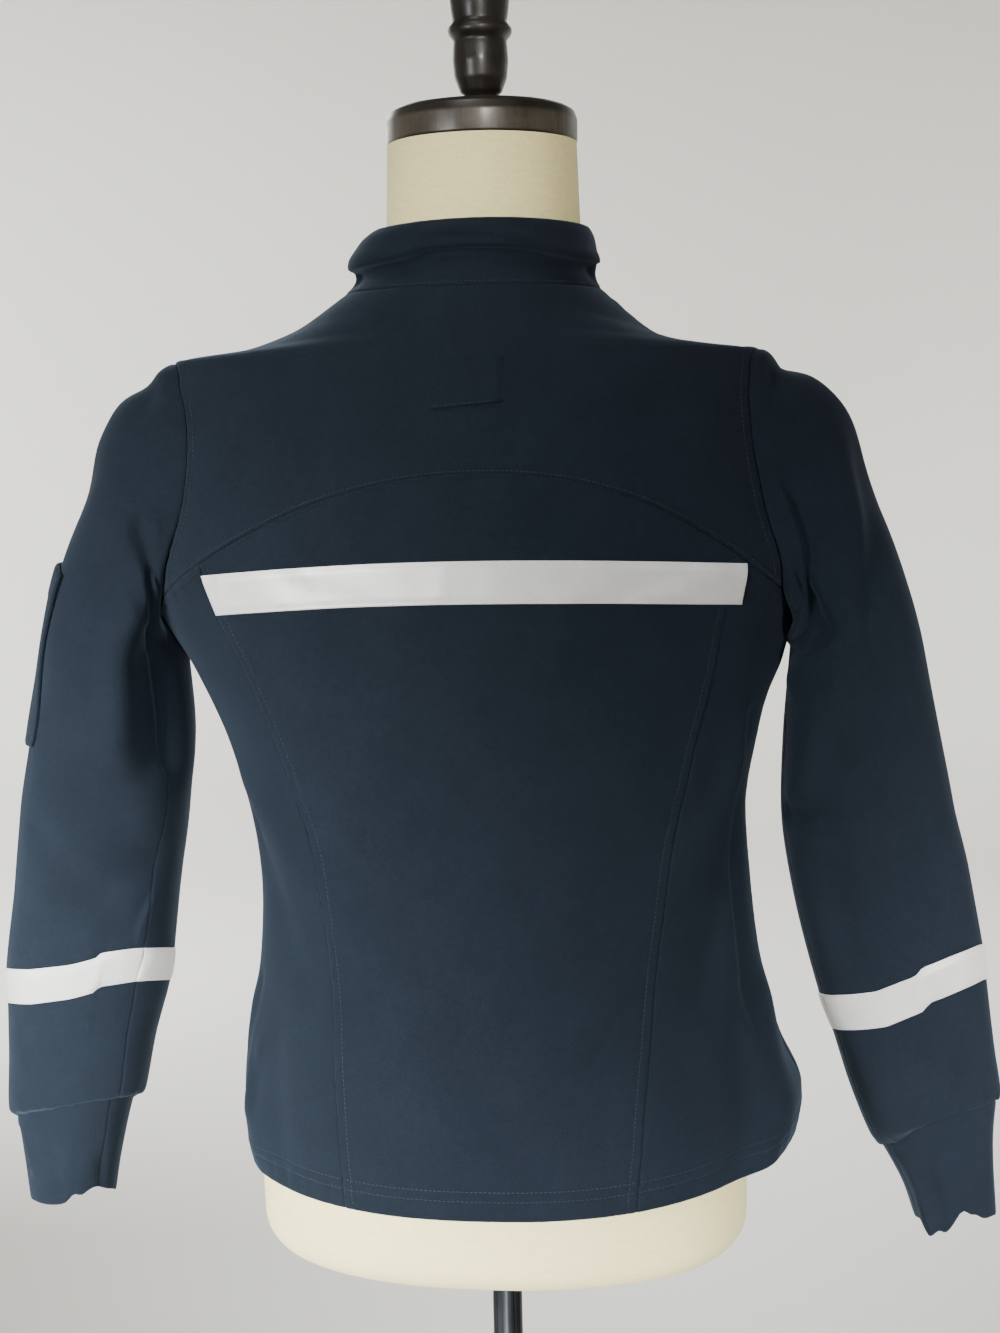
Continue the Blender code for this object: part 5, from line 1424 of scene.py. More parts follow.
def graded(length, start=0.0075, end=0.0075, fine=0.00075, coarse=0.0032):
    """Shares of a length that lie close together near its ends, where seams are."""
    place, places = 0.0, [0.0]
    while place < length:
        spare = max(min(place - start, length - end - place), 0.0)
        place += min(fine + 0.25 * spare, coarse)
        places.append(place)
    places[-1] = length
    if len(places) > 2 and places[-1] - places[-2] < fine / 2:
        places.pop(-2)
    return np.array(places) / length


def make_panel(name, places, edges, *allowances):
    """A panel of the body, with seam allowances below its neighbours at some of its edges."""
    grid = dressed(body_cloth(*places)[0], edges, SEEDS[name])
    add_cloth(name, "cloth", grid, CLOTH, "draped", "form_torso", allowances=allowances)
    return grid


def outward(places, side):
    """Places with their columns to the right, seen from outside, on the wearer's left or right."""
    return places if side > 0 else tuple(p[:, ::-1] for p in places)


def make_body():
    """The body's panels. Gives the lines of their topstitching."""
    low = graded(MIDDLE_SIZE[0], start=HEM_FINE, end=0.0)
    knots = [graded(TAPE_BELOW, 0, 0), 1 + graded(TAPE_WIDTH, 0.004, 0.004),
             2 + graded(TAPE_ABOVE, start=0)]
    knots = np.concatenate([k[1:] for k in knots])
    edges = {"foot": HEM, "head": RIDGED, "start": SHAPED, "end": SHAPED}
    places = middle_back_places(low, knots, graded(MIDDLE_SIZE[1]))
    middle = make_panel("back_middle", places, edges, "head", "start", "end")
    edges = {"foot": EDGESTITCHED, "head": FLUSH, "start": TOPSTITCHED, "end": TOPSTITCHED}
    places = yoke_places(*[graded(size) for size in YOKE_SIZE])
    yoke = make_panel("back_yoke", places, edges, "head")
    lines = [line_on(middle, "foot", d) for d in HEM.stitches]
    lines += [line_on(middle, e, SHAPED.stitches[0], trim=0.004) for e in ("start", "end")]
    lines += [line_on(yoke, "foot", EDGESTITCHED.stitches[0])]
    count = int(YOKE_BREAK * len(yoke))
    lines += [line_on(yoke[: count + 8], e, TOPSTITCHED.stitches[0]) for e in ("start", "end")]
    for word, side in (("left", 1), ("right", -1)):
        shares = graded(SIDE_SIZE[1])
        places = side_back_places(side, graded(SIDE_SIZE[0], start=HEM_FINE), shares)
        edges = {"foot": HEM, "head": TOPSTITCHED, "start": PLAIN, "end": PLAIN}
        panel = make_panel(f"back_side_{word}", outward(places, side), edges, "head")
        lines += [line_on(panel, "foot", d) for d in HEM.stitches]
        count = np.searchsorted(shares, ARC_SHARE)
        arc = panel[:, :count] if side > 0 else panel[:, -count:]
        lines += [line_on(arc, "head", TOPSTITCHED.stitches[0])]
        rows, columns = graded(FRONT_SIZE[0], start=HEM_FINE), graded(FRONT_SIZE[1])
        places = front_places(side, rows, columns)
        zip_edge, outer = ("start", "end") if side > 0 else ("end", "start")
        edges = {"foot": HEM, "head": FLUSH, zip_edge: TOPSTITCHED, outer: PLAIN}
        panel = make_panel(f"front_{word}", outward(places, side), edges, "head", outer)
        lines += [line_on(panel, "foot", d) for d in HEM.stitches]
        lines += [line_on(panel, zip_edge, TOPSTITCHED.stitches[0])]
    return lines


def back_tape():
    """The back tape's place on the middle panel. Its right end is cut upright."""
    rows = graded(TAPE_WIDTH, 0.004, 0.004)
    shares = graded(TAPE_LONG)
    low, high = tape_place(shares * (1 + TAPE_END), 0), tape_place(shares, TAPE_WIDTH)
    angle, level = (mix(low[k], high[k], rows[:, None]) for k in (0, 1))
    grid, normals = body_cloth(angle, level)
    ends = np.clip((shares - 0.975) / 0.02, 0, 1) + np.clip((0.02 - shares) / 0.015, 0, 1)
    return grid + normals * (soft_waves(grid, SEEDS["back_middle"]) + TAPE_END_LIFT * ends)[..., None]


def make_collar():
    levels = (len(COLLAR) - 1) * graded(COLLAR_SIZE[0], start=0.006, end=0.003, coarse=0.0016)
    row = row_at(COLLAR, levels[:, None])
    left, right = (angle_at_x(row, side * ZIP_WIDTH / 2, back=False) for side in (1, -1))
    angle = mix(left, right + 2 * math.pi, graded(COLLAR_SIZE[1])[None])
    level = np.broadcast_to(levels[:, None], angle.shape)
    edges = {"foot": BANDED, "head": PLAIN, "start": PLAIN, "end": PLAIN}
    grid = ring_cloth(COLLAR, angle, level, creases=COLLAR_CREASES)[0]
    grid = dressed(grid, edges, SEEDS["collar"], height=0.75 * WAVE_HEIGHT)
    add_cloth("collar", "cloth", grid, COLLAR_CLOTH, "folded", "form_torso")
    return grid


def facing_out(grid, side):
    """A tube's rings with rows running up and columns running to the right, seen from outside."""
    return grid[::-1, ::-1] if side > 0 else grid[::-1]


def arm_rows(spans):
    """Section numbers down a sleeve with the tape's edges among them."""
    rows = [np.array([0.0])]
    for low, high, start, end in spans:
        rows.append(low + (high - low) * graded((high - low) * SECTION_LENGTH, start, end)[1:])
    return np.concatenate(rows)


def ring_columns(around, seam=0.004):
    return graded(around, start=seam, end=seam, coarse=0.0029)[:-1]


def hang(rows, degrees, corner=CUFF_CORNER):
    """Heights at angles round a sleeve, from a table of angles and heights, with soft corners."""
    turns = np.arange(0, 360.0)
    heights = np.interp(turns, *zip(*rows))
    soft = np.exp(-((np.minimum(turns, 360 - turns) / corner) ** 2))
    heights = np.real(np.fft.ifft(np.fft.fft(heights) * np.fft.fft(soft / soft.sum())))
    return np.interp(degrees % 360, turns, heights, period=360)


def make_sleeve(word, side, table, cuff_table, folds, creases, seam):
    """A sleeve and its cuff. Gives the part of the sleeve below its tape and what shapes it."""
    cap = graded(CAP_LENGTH, end=0.0)
    tape_top, tape_foot = TAPE_SECTIONS
    arm = arm_rows(((0, tape_top, 0, 0.002), (tape_top, tape_foot, 0.002, 0.002),
                    (tape_foot, len(table) - 1, 0.002, 0.0075)))
    shape = (table, side, folds, creases)
    grid, places, angles = sleeve_grid(*shape, seam, ring_columns(SLEEVE_ROUND), cap, arm)
    section = (places - CAP_LENGTH) / SECTION_LENGTH
    for rows, at, reach, corner in (
        (TAPE_ROWS, sum(TAPE_SECTIONS) / 2, TAPE_REACH, TAPE_CORNER),
        (CUFF_ROWS, len(table) - 1, CUFF_REACH[0], CUFF_CORNER),
    ):
        near = np.exp(-(((section - at) / reach) ** 2))
        grid[..., 2] += near[:, None] * hang(rows[word], np.degrees(angles), corner)
    edges = {"foot": CUFFED, "head": PLAIN, "start": SEAMED, "end": SEAMED}
    facing = dressed(facing_out(grid, side), edges, SEEDS[f"sleeve_{word}"], ring=True)
    add_cloth(f"sleeve_{word}", "cloth", facing, CLOTH, "hung", "back_yoke_cloth", ring=True,
              allowances=("head",))
    make_cuff(word, side, cuff_table, math.radians(seam[-1][0]))
    return grid_rows(facing, section[::-1], tape_top, tape_foot), shape


def make_cuff(word, side, table, seam_angle):
    end = len(table) - 1
    steps = end * graded(CUFF_LONG, start=0.006, end=0.004, coarse=0.0022)
    turns = seam_angle + 2 * math.pi * ring_columns(CUFF_ROUND, 0.003)
    cuff = sleeve_rings(table, steps, turns, side, (CUFF_WAVE * (steps / end) ** 2)[:, None])
    steps = steps[:, None]
    degrees = np.degrees(turns)[None] % 360
    lift = crease_lift(CUFF_CREASES[word], degrees, steps * CUFF_STEP, CUFF_DEGREE, down=True)
    lift = lift + fold_lift(CUFF_SOFT[word], degrees, steps * CUFF_STEP, CUFF_DEGREE)
    cuff = cuff + tube_normals(cuff, side) * lift[..., None]
    upper = np.exp(-((steps / CUFF_REACH[1]) ** 2))
    cuff[..., 2] += upper * (CUFF_UNDER + hang(CUFF_ROWS[word], degrees))
    for middle, breadth, drop in CUFF_EDGE[word]:
        away = (degrees - middle + 180) % 360 - 180
        cuff[..., 2] += (steps / end) ** 2 * drop * np.exp(-((away / breadth) ** 2))
    edges = {"foot": PLAIN, "head": TUCKED, "start": SEAMED, "end": SEAMED}
    seed = SEEDS[f"cuff_{word}"]
    cuff = dressed(facing_out(cuff, side), edges, seed, ring=True, height=1.5 * WAVE_HEIGHT)
    add_cloth(f"cuff_{word}", "rib", cuff, CUFF_CLOTH, "hung", f"sleeve_{word}_cloth", ring=True,
              allowances=("head",))


def grid_rows(grid, numbers, low, high):
    """A grid's rows whose numbers lie from low to high."""
    return grid[(numbers >= low - 1e-6) & (numbers <= high + 1e-6)]


def tape_grid(under, seed, ring=False, steps=()):
    """Tape sewn flat on cloth: its outer points, with small wrinkles between its sewn edges."""
    normals = grid_normals(under, ring)
    up, across = lengths(under, 0), lengths(under, 1)
    share = up / up[-1:]
    bulge = np.clip(np.minimum(share, 1 - share) / 0.2, 0, 1)
    rng = np.random.default_rng(seed)
    lift = TAPE_RIPPLE[1] * ripple(across + 0.2 * up, seed, TAPE_RIPPLE[0])
    for _ in range(int(across.max() / WRINKLE_SPACING)):
        place, tilt = rng.uniform(0, across.max()), rng.uniform(-WRINKLE_LEAN, WRINKLE_LEAN)
        size, wide = rng.uniform(*WRINKLE_HIGH), rng.uniform(*WRINKLE_WIDE)
        bow = WRINKLE_BOW * rng.uniform(-1, 1) * (2 * share - 1) ** 2
        away = across - place - tilt * up - bow
        lift = lift + size * rng.uniform(WRINKLE_SURE, 1) * np.exp(-((away / wide) ** 2))
    for place, high in steps:
        past = across - place * across[:, -1:] - 0.003 * (share - 0.5)
        before, after = np.exp(-((past / TAPE_STEP[0]) ** 2)), np.exp(-past / TAPE_STEP[1])
        lift = lift + high * np.where(past > 0, after, before)
    sewn, wide, deep = TAPE_SEWN
    stitched = np.exp(-(((share - sewn) / wide) ** 2)) + np.exp(-(((share - 1 + sewn) / wide) ** 2))
    lift = LIE_GAP + TAPE_THICK + (lift + TAPE_LOOSE) * bulge - deep * stitched
    return under + normals * lift[..., None]


def make_tape(name, under, ring=False):
    """A tape on the part of the cloth below it. Gives the lines of its stitching."""
    tape = TAPES[name]
    outer = tape_grid(under, SEEDS[name], ring, tape.steps)
    add_cloth(name, "tape", outer, TAPE_THICK, "laid", tape.rests_on, f"{name}_band", ring)
    return [line_on(outer, edge, TAPE_STITCHES, ring=ring) for edge in ("foot", "head")]


def make_pocket(shape):
    """The patch pocket on the outer side of the left upper arm."""
    arc = (POCKET_ARC[1] - POCKET_ARC[0]) / 360
    columns = arc * graded(arc * SLEEVE_ROUND, 0.005, 0.005, coarse=0.0026)
    rest = np.linspace(arc, 1, 40)[1:-1]
    cap = np.concatenate([np.linspace(0, POCKET_TOP, 12)[:-1],
                          mix(POCKET_TOP, 1, graded(0.041, 0.022, 0))])
    arm = POCKET_FOOT * graded(POCKET_FOOT * SECTION_LENGTH, 0, 0.0075)
    arm = np.concatenate([arm, [POCKET_FOOT + 0.2, POCKET_FOOT + 0.4]])
    start = [(POCKET_ARC[0], 0), (POCKET_ARC[0], 1)]
    grid, places, _ = sleeve_grid(*shape, start, np.concatenate([columns, rest]), cap, arm)
    normals = tube_normals(grid, 1)
    grid = grid + normals * soft_waves(grid, SEEDS["sleeve_left"])[..., None]
    low, high = CAP_LENGTH * POCKET_TOP - 1e-6, CAP_LENGTH + SECTION_LENGTH * POCKET_FOOT + 1e-6
    kept = (places > low) & (places < high)
    grid = (grid + normals * (LIE_GAP + POCKET_THICK))[kept][:, : len(columns)]
    edges = {"foot": LAPPED, "head": POCKET_HEM, "start": LAPPED, "end": LAPPED}
    outer = dressed(facing_out(grid, 1), edges, SEEDS["sleeve_pocket"])
    add_cloth("sleeve_pocket", "cloth", outer, POCKET_THICK, "laid", "sleeve_left_cloth")
    lines = [line_on(outer, e, LAPPED.stitches[0], trim=0.002) for e in ("foot", "start", "end")]
    return lines + [line_on(outer, "head", POCKET_HEM.stitches[0], trim=0.002)]


def make_patch():
    """The small patch below the collar, with ridges along its upper and lower edge and stitching along the lower one.
    """
    z = mix(*PATCH_HEIGHTS, graded(0.026, 0.006, 0.006))[:, None]
    x = mix(*PATCH_SIDES, graded(0.050, 0.006, 0.006))[None]
    level = np.broadcast_to(level_at(z), (len(z), x.shape[1]))
    angle = angle_at_x(row_at(BODY, level), np.broadcast_to(x, level.shape))
    grid, normals = body_cloth(angle, level)
    up, across = (z - z[0]) / (z[-1] - z[0]), (x - x[0, 0]) / (x[0, -1] - x[0, 0])
    sides = ease(np.clip(np.minimum(across, 1 - across) / 0.15, 0, 1))
    foot, head = PATCH_RIDGES
    ridges = foot * np.exp(-((up / PATCH_RIDGE_SHARE) ** 2))
    ridges = ridges + head * np.exp(-(((1 - up) / PATCH_RIDGE_SHARE) ** 2))
    ridges = ridges + PATCH_WAVE * np.sin(math.pi * up) * np.sin(math.pi * across * 2.3 + 0.4) ** 2
    lift = PATCH_SUNK + (PATCH_RAISED + ridges) * sides + soft_waves(grid, SEEDS["back_yoke"])
    outer = grid + normals * lift[..., None]
    corner = PATCH_CORNER * np.clip((across - 0.75) / 0.25, 0, 1) * up
    outer[..., 2] += PATCH_TILT * (across - 0.5) + corner
    add_cloth("back_patch", "cloth", outer, PATCH_THICK, "laid", "back_yoke_cloth")
    return [line_on(outer, "foot", PATCH_STITCHES, trim=PATCH_STITCHES_TRIM)]


def box_mesh(name, boxes):
    """One mesh of boxes with chamfered long edges, each (centre, x way, y way, z way)."""
    ring = [(-1, -0.6), (-0.6, -1), (0.6, -1), (1, -0.6), (1, 0.6), (0.6, 1), (-0.6, 1), (-1, 0.6)]
    rings, sides = ((-1, 0.8), (-0.8, 1), (0.8, 1), (1, 0.8)), len(ring)
    points = [centre + x * a * size + y * b * size + z * up
              for centre, x, y, z in boxes for up, size in rings for a, b in ring]
    each = sides * len(rings)
    first = (np.arange(len(boxes)) * each)[:, None, None]
    j = np.arange(sides)
    faces = [first + ring_quads(len(rings), sides), first + np.stack([j[::-1], j + each - sides])]
    return new_mesh(name, np.array(points), [f.reshape(-1, f.shape[-1]) for f in faces], smooth_angle=35)


def make_zip():
    """The closed chain: one narrow strip of woven tape, standing for both its tapes, under interlocking moulded teeth.
    """
    levels = np.linspace(0, NECK, 260)
    body, body_up = body_cloth(np.full(levels.shape, -math.pi / 2), levels)
    top = np.linspace(0, len(COLLAR) - 1, 24)[1:]
    collar, collar_up = ring_cloth(COLLAR, np.full(top.shape, -math.pi / 2), top)
    line, ups = np.concatenate([body, collar]), np.concatenate([body_up, collar_up])
    half = np.array([ZIP_WIDTH / 2 - ZIP_SPARE, 0, 0])
    across = np.linspace(-1, 1, 9)[None, :, None]
    strip = line[:, None] - ups[:, None] * ZIP_TAPE_LOW + across * half
    add_piece("zip_strip", shell_mesh("zip_strip", strip, ZIP_TAPE_THICK), LOOKS["zip_tape"],
              stands_for=["zip_chain"], slot="zip")
    run = run_along(line)

    def read(values, at):
        return np.array([np.interp(at, run, values[:, i]) for i in range(3)])

    boxes = []
    wide, high, long = TOOTH
    for k in range(int(run[-1] / ZIP_PITCH)):
        at = (k + 0.5) * ZIP_PITCH
        centre = read(line, at)
        up = unit(read(ups, at))
        way = unit(read(line, at + 0.0005) - centre)
        side = np.cross(way, up)
        place = TOOTH_ASIDE if k % 2 else -TOOTH_ASIDE
        boxes.append((centre + side * place - up * TOOTH_LOW, side * wide, up * high, way * long))
    add_piece("zip_teeth", box_mesh("zip_teeth", boxes), LOOKS["zip"], stands_for=["zip_chain"],
              slot="zip")


def turned(r, z, count):
    """Rings of points at radii and heights about the vertical axis."""
    turns = 2 * math.pi * np.arange(count) / count
    r, z = np.asarray(r, float)[:, None], np.asarray(z, float)[:, None]
    return np.stack([r * np.cos(turns), r * np.sin(turns), np.broadcast_to(z, (len(z), count))], axis=-1)


def round_mesh(name, rings, foot, head, smooth_angle=35):
    """A closed mesh through rings of points, its ends closed at heights on the axis."""
    rows, count = rings.shape[:2]
    points = np.concatenate([rings.reshape(-1, 3), [(0, 0, foot), (0, 0, head)]])
    j = np.arange(count)
    n = (j + 1) % count
    last = (rows - 1) * count
    caps = [np.stack([np.full(count, rows * count), n, j], axis=-1),
            np.stack([np.full(count, rows * count + 1), last + j, last + n], axis=-1)]
    faces = [ring_quads(rows, count), np.concatenate(caps)]
    return new_mesh(name, points, faces, smooth_angle=smooth_angle)


def softened(profile, size):
    """A profile with a small round at each corner between its two ends."""
    p = np.array(profile, float)
    out = [tuple(p[0])]
    for k in range(1, len(p) - 1):
        before, after = p[k - 1] - p[k], p[k + 1] - p[k]
        a, b = np.linalg.norm(before), np.linalg.norm(after)
        turn = abs(np.cross(before / a, after / b))
        if turn < 0.08:
            out.append(tuple(p[k]))
            continue
        cut = min(size, 0.4 * a, 0.4 * b)
        one, two = p[k] + before / a * cut, p[k] + after / b * cut
        for t in (0, 0.25, 0.5, 0.75, 1):
            out.append(tuple(one * (1 - t) ** 2 + 2 * p[k] * t * (1 - t) + two * t * t))
    return out + [tuple(p[-1])]


def make_form():
    """The linen-covered torso."""
    count = 144
    turns = 2 * math.pi * np.arange(count) / count
    at = np.concatenate([np.linspace(0, 4, 22), np.linspace(4, len(FORM) - 1, 140)[1:]])
    row = row_at(FORM, at[:, None])
    level = Level("", row.z_side, row.z_side, row.z_back, row.z_front, row.wide, row.wide, row.back,
                  row.front, row.square)
    grid = section_point(level, turns[None])
    waves = soft_waves(grid, SEEDS["form_cover"], 0.75 * WAVE_HEIGHT)
    grid = grid + grid_normals(grid, True) * waves[..., None]
    socket = turned([POLE_RADIUS + POLE_FIT] * 2, [FORM_SOCKET_TOP, FORM[0].z_side], count)
    mesh = round_mesh("form_cover", np.concatenate([socket, grid]), FORM_SOCKET_TOP, FORM[-1].z_back, 40)
    add_piece("form_cover", mesh, LOOKS["form"], stands_for=["form_torso"], slot="form")


def make_stand():
    """The turned pieces: each its profile, how much its corners are softened, and what it is."""
    foot, head = BASE_SOCKET_FOOT + POLE_FIT, FORM_SOCKET_TOP - POLE_FIT
    pole = [(0, foot), (POLE_RADIUS, foot), (POLE_RADIUS, head), (0, head)]
    for name, profile, soft, count, look, part in (
        ("neck_cap", CAP_PROFILE, 0.0012, 128, "wood", "form_cap"),
        ("turned_finial", FINIAL_PROFILE, 0.0014, 96, "wood", "form_finial"),
        ("round_base", BASE_PROFILE, 0.0012, 128, "base", "stand_base"),
        ("grey_pole", pole, 0.0006, 64, "pole", "stand_pole"),
    ):
        profile = np.array(softened(profile, soft))
        off_axis = profile[profile[:, 0] > 1e-6]
        mesh = round_mesh(name, turned(*off_axis.T, count), profile[0, 1], profile[-1, 1])
        add_piece(name, mesh, LOOKS[look], stands_for=[part], slot=look)


def ring_body(name, rings, body, stands_for, hole=False):
    """A metal solid through rings of equally many points, which run round a hole if there is one."""
    rings = np.array(rings, float)
    index = closed(np.arange(rings.shape[0] * rings.shape[1]).reshape(rings.shape[:2]))
    if hole:
        faces = [quads(np.concatenate([index, index[:1]]))]
    else:
        faces = [quads(index), index[:1, -2::-1], index[-1:, :-1]]
    mesh = new_mesh(name, rings.reshape(-1, 3), faces, smooth_angle=40)
    return add_piece(name, mesh, LOOKS["metal"], body, stands_for, "zip_metal")


def rounded(corners, radius, steps=6):
    """A closed flat outline with rounded corners."""
    p = np.array(corners, float)
    out = []
    for k in range(len(p)):
        before, after = p[k - 1] - p[k], p[(k + 1) % len(p)] - p[k]
        cut = min(radius, 0.45 * np.linalg.norm(before), 0.45 * np.linalg.norm(after))
        one, two = p[k] + unit(before) * cut, p[k] + unit(after) * cut
        for t in np.linspace(0, 1, steps):
            out.append(one * (1 - t) ** 2 + 2 * p[k] * t * (1 - t) + two * t * t)
    return np.array(out)


def drawn_in(outline, size):
    """An outline moved inwards by a small distance."""
    way = unit(np.roll(outline, -1, axis=0) - np.roll(outline, 1, axis=0))
    return outline + np.stack([-way[:, 1], way[:, 0]], axis=-1) * size


def standing(outline, y):
    """A flat outline of x and z as points at one depth."""
    return np.stack([outline[:, 0], np.full(len(outline), y), outline[:, 1]], axis=-1)


def slab(name, outline, front, back, soft):
    """A plate of the slider with softened edges. Its outline runs to the left, seen from its front."""
    inner, near = drawn_in(outline, soft), drawn_in(outline, soft * 0.3)
    rings = [standing(inner, front), standing(near, front + soft * 0.3), standing(outline, front + soft),
             standing(outline, back - soft), standing(near, back - soft * 0.3), standing(inner, back)]
    ring_body(name, rings, JACKET, ["zip_slider"])


def make_slider():
    z, half, wide = SLIDER_Z, SLIDER_HIGH / 2, SLIDER_WIDE / 2
    plate = mirrored([(wide, z + half), (wide, z + 0.3 * half), (0.62 * wide, z - half)])
    outline = rounded(plate, PLATE_ROUND)
    slab("slider_front_plate", outline, SLIDER_FACE, SLIDER_FACE + PLATE_THICK, 0.0003)
    slab("slider_back_plate", outline, SLIDER_FACE + BACK_PLATE, SLIDER_FACE + SLIDER_DEEP, 0.0003)
    wedge = rounded(mirrored([(0.0012, z + half - 0.0006), (0.0004, z + 0.1 * half)]), 0.0006)
    slab("slider_wedge", wedge, SLIDER_FACE + PLATE_THICK - 0.0001, SLIDER_FACE + BACK_PLATE + 0.0001,
         0.0001)
    b = BRIDGE_WIDE / 2
    section = rounded([(b, 0.0005), (b, -0.0005), (-b, -0.0005), (-b, 0.0005)], 0.0003, 4)
    way = np.array(BRIDGE_WAY) + (SLIDER_FACE, 0)
    turn = unit(np.gradient(way, axis=0))
    wide, high = section.T
    rings = [np.stack([wide, y - high * across, z + up + high * along], axis=-1)
             for (y, up), (along, across) in zip(way, turn)]
    ring_body("slider_bridge", rings, JACKET, ["zip_slider"])


def mirrored(corners):
    """Corners on the left of an upright middle line, then the same on its right, back upwards."""
    return corners + [(-x, z) for x, z in corners[::-1]]


def make_pull_tab():
    z, w = SLIDER_Z, PULL_WIDE / 2
    top, foot = z + PULL_THICK / 2, z + PULL_THICK / 2 - PULL_LONG
    shape = mirrored([(w, top - 0.0004), (0.82 * w, z - 0.009), (w, foot + 0.006), (0.8 * w, foot)])
    outline = rounded(shape + [(-0.7 * w, top), (0.7 * w, top)], 0.0022, 9)
    low, high = z - PULL_EYE, z - PULL_THICK / 2
    centre, a, h = (low + high) / 2, BRIDGE_WIDE / 2 + PULL_FIT, (high - low) / 2
    turns = np.arctan2(outline[:, 1] - centre, outline[:, 0])
    c, s = np.cos(turns), np.sin(turns)
    r = (np.abs(c / a) ** 5 + np.abs(s / h) ** 5) ** -0.2
    hole = np.stack([r * c, centre + r * s], axis=-1)
    front, back, soft = PULL_Y - PULL_THICK / 2, PULL_Y + PULL_THICK / 2, 0.00025
    rings = [standing(hole, front + soft), standing(drawn_in(hole, -soft), front),
             standing(drawn_in(outline, soft), front), standing(outline, front + soft),
             standing(outline, back - soft), standing(drawn_in(outline, soft), back),
             standing(drawn_in(hole, -soft), back), standing(hole, back - soft)]
    ring_body("zip_pull_tab", rings, PULL_TAB, ["zip_pull"], hole=True)


def node(tree, kind, settings=None, **inputs):
    """A shader node with its settings made and its inputs set or linked; gives its outputs."""
    made = tree.nodes.new(kind)
    for key, value in (settings or {}).items():
        setattr(made, key, value)
    for key, value in inputs.items():
        number = key[1:]
        socket = made.inputs[int(number)] if number.isdigit() else made.inputs[key.replace("_", " ")]
        if isinstance(value, bpy.types.NodeSocket):
            tree.links.new(value, socket)
        else:
            socket.default_value = value
    return made.outputs


def principled(name, roughness, metallic=0.0, **more):
    made = bpy.data.materials.new(name)
    made.use_nodes = True
    shader = made.node_tree.nodes["Principled BSDF"]
    shader.inputs["Roughness"].default_value = roughness
    shader.inputs["Metallic"].default_value = metallic
    for key, value in more.items():
        shader.inputs[key.replace("_", " ")].default_value = value
    return made, made.node_tree, shader


def maths(tree, operation, a, b=0.0):
    return node(tree, "ShaderNodeMath", {"operation": operation}, _0=a, _1=b)[0]


def located(tree, size, kind="Object"):
    """Where a point lies, in metres divided by a size, which may differ for each axis."""
    source = node(tree, "ShaderNodeTexCoord")[kind]
    sizes = size if isinstance(size, tuple) else (size,) * 3
    return node(tree, "ShaderNodeMapping", Vector=source, Scale=tuple(1 / s for s in sizes))["Vector"]


def noise(tree, size, detail=2.0, rough=0.5):
    where = located(tree, size)
    return node(tree, "ShaderNodeTexNoise", Vector=where, Scale=1.0, Detail=detail, Roughness=rough)[0]


def axes_of(tree, kind="Object"):
    return node(tree, "ShaderNodeSeparateXYZ", _0=node(tree, "ShaderNodeTexCoord")[kind])


def ranged(tree, value, low, high, start, end):
    """A value from low to high brought to the range from start to end, and held there."""
    return node(tree, "ShaderNodeMapRange", Value=value, From_Min=low, From_Max=high, To_Min=start,
                To_Max=end)[0]


def spread(tree, value, low, high):
    """A noise between 0 and 1 brought to a range, with its middle stretched."""
    return ranged(tree, value, 0.3, 0.7, low, high)


def tinted(tree, base, *factors):
    """A colour made lighter and darker by factors."""
    colour = node(tree, "ShaderNodeRGB")[0]
    colour.default_value = (*base, 1)
    for factor in factors:
        colour = node(tree, "ShaderNodeVectorMath", {"operation": "SCALE"}, _0=colour, Scale=factor)[0]
    return colour


def finish_look(tree, shader, colour=None, height=None, distance=0.0002, strength=0.6, rough=None):
    if colour is not None:
        tree.links.new(colour, shader.inputs["Base Color"])
    if height is not None:
        bump = node(tree, "ShaderNodeBump", Height=height, Distance=distance, Strength=strength)[0]
        tree.links.new(bump, shader.inputs["Normal"])
    if rough is not None:
        tree.links.new(rough, shader.inputs["Roughness"])


def knit_height(tree, wale, course):
    """Rows of knitted loops, in metres along the cloth."""
    axes = axes_of(tree, "UV")
    across = maths(tree, "MULTIPLY", axes[0], 2 * math.pi / wale)
    up = maths(tree, "MULTIPLY", axes[1], 2 * math.pi / course)
    lean = maths(tree, "ABSOLUTE", maths(tree, "SINE", maths(tree, "MULTIPLY", across, 0.5)))
    loops = maths(tree, "SINE", maths(tree, "ADD", up, maths(tree, "MULTIPLY", lean, 2.4)))
    return maths(tree, "ADD", maths(tree, "MULTIPLY", loops, 0.5), lean)


def cloth_look(name, base, wale, course, ribbed=False):
    made, tree, shader = principled(name, 0.92, Specular_IOR_Level=0.10, Sheen_Weight=0.13,
                                    Sheen_Roughness=0.45, Sheen_Tint=(0.42, 0.58, 0.78, 1))
    fibre = noise(tree, 0.0012, 3.0, 0.7)
    patch = noise(tree, 0.035, 2.0)
    speck = noise(tree, 0.0045, 2.0, 0.6)
    colour = tinted(tree, base, spread(tree, fibre, 0.80, 1.22), spread(tree, patch, 0.93, 1.07),
                    spread(tree, speck, 0.93, 1.08))
    height = maths(tree, "ADD", maths(tree, "MULTIPLY", knit_height(tree, wale, course), 0.35), fibre)
    if ribbed:
        across = axes_of(tree, "UV")[0]
        rib = maths(tree, "SINE", maths(tree, "MULTIPLY", across, 2 * math.pi / RIB))
        height = maths(tree, "ADD", height, maths(tree, "MULTIPLY", rib, 0.14))
    finish_look(tree, shader, colour, height, 0.00022, 0.55)
    return made


def thread_look(name, base):
    made, tree, shader = principled(name, 0.6, Specular_IOR_Level=0.3)
    twist = noise(tree, 0.0005, 2.0, 0.6)
    finish_look(tree, shader, tinted(tree, base, spread(tree, twist, 0.75, 1.2)), twist, 0.0001, 0.5)
    return made


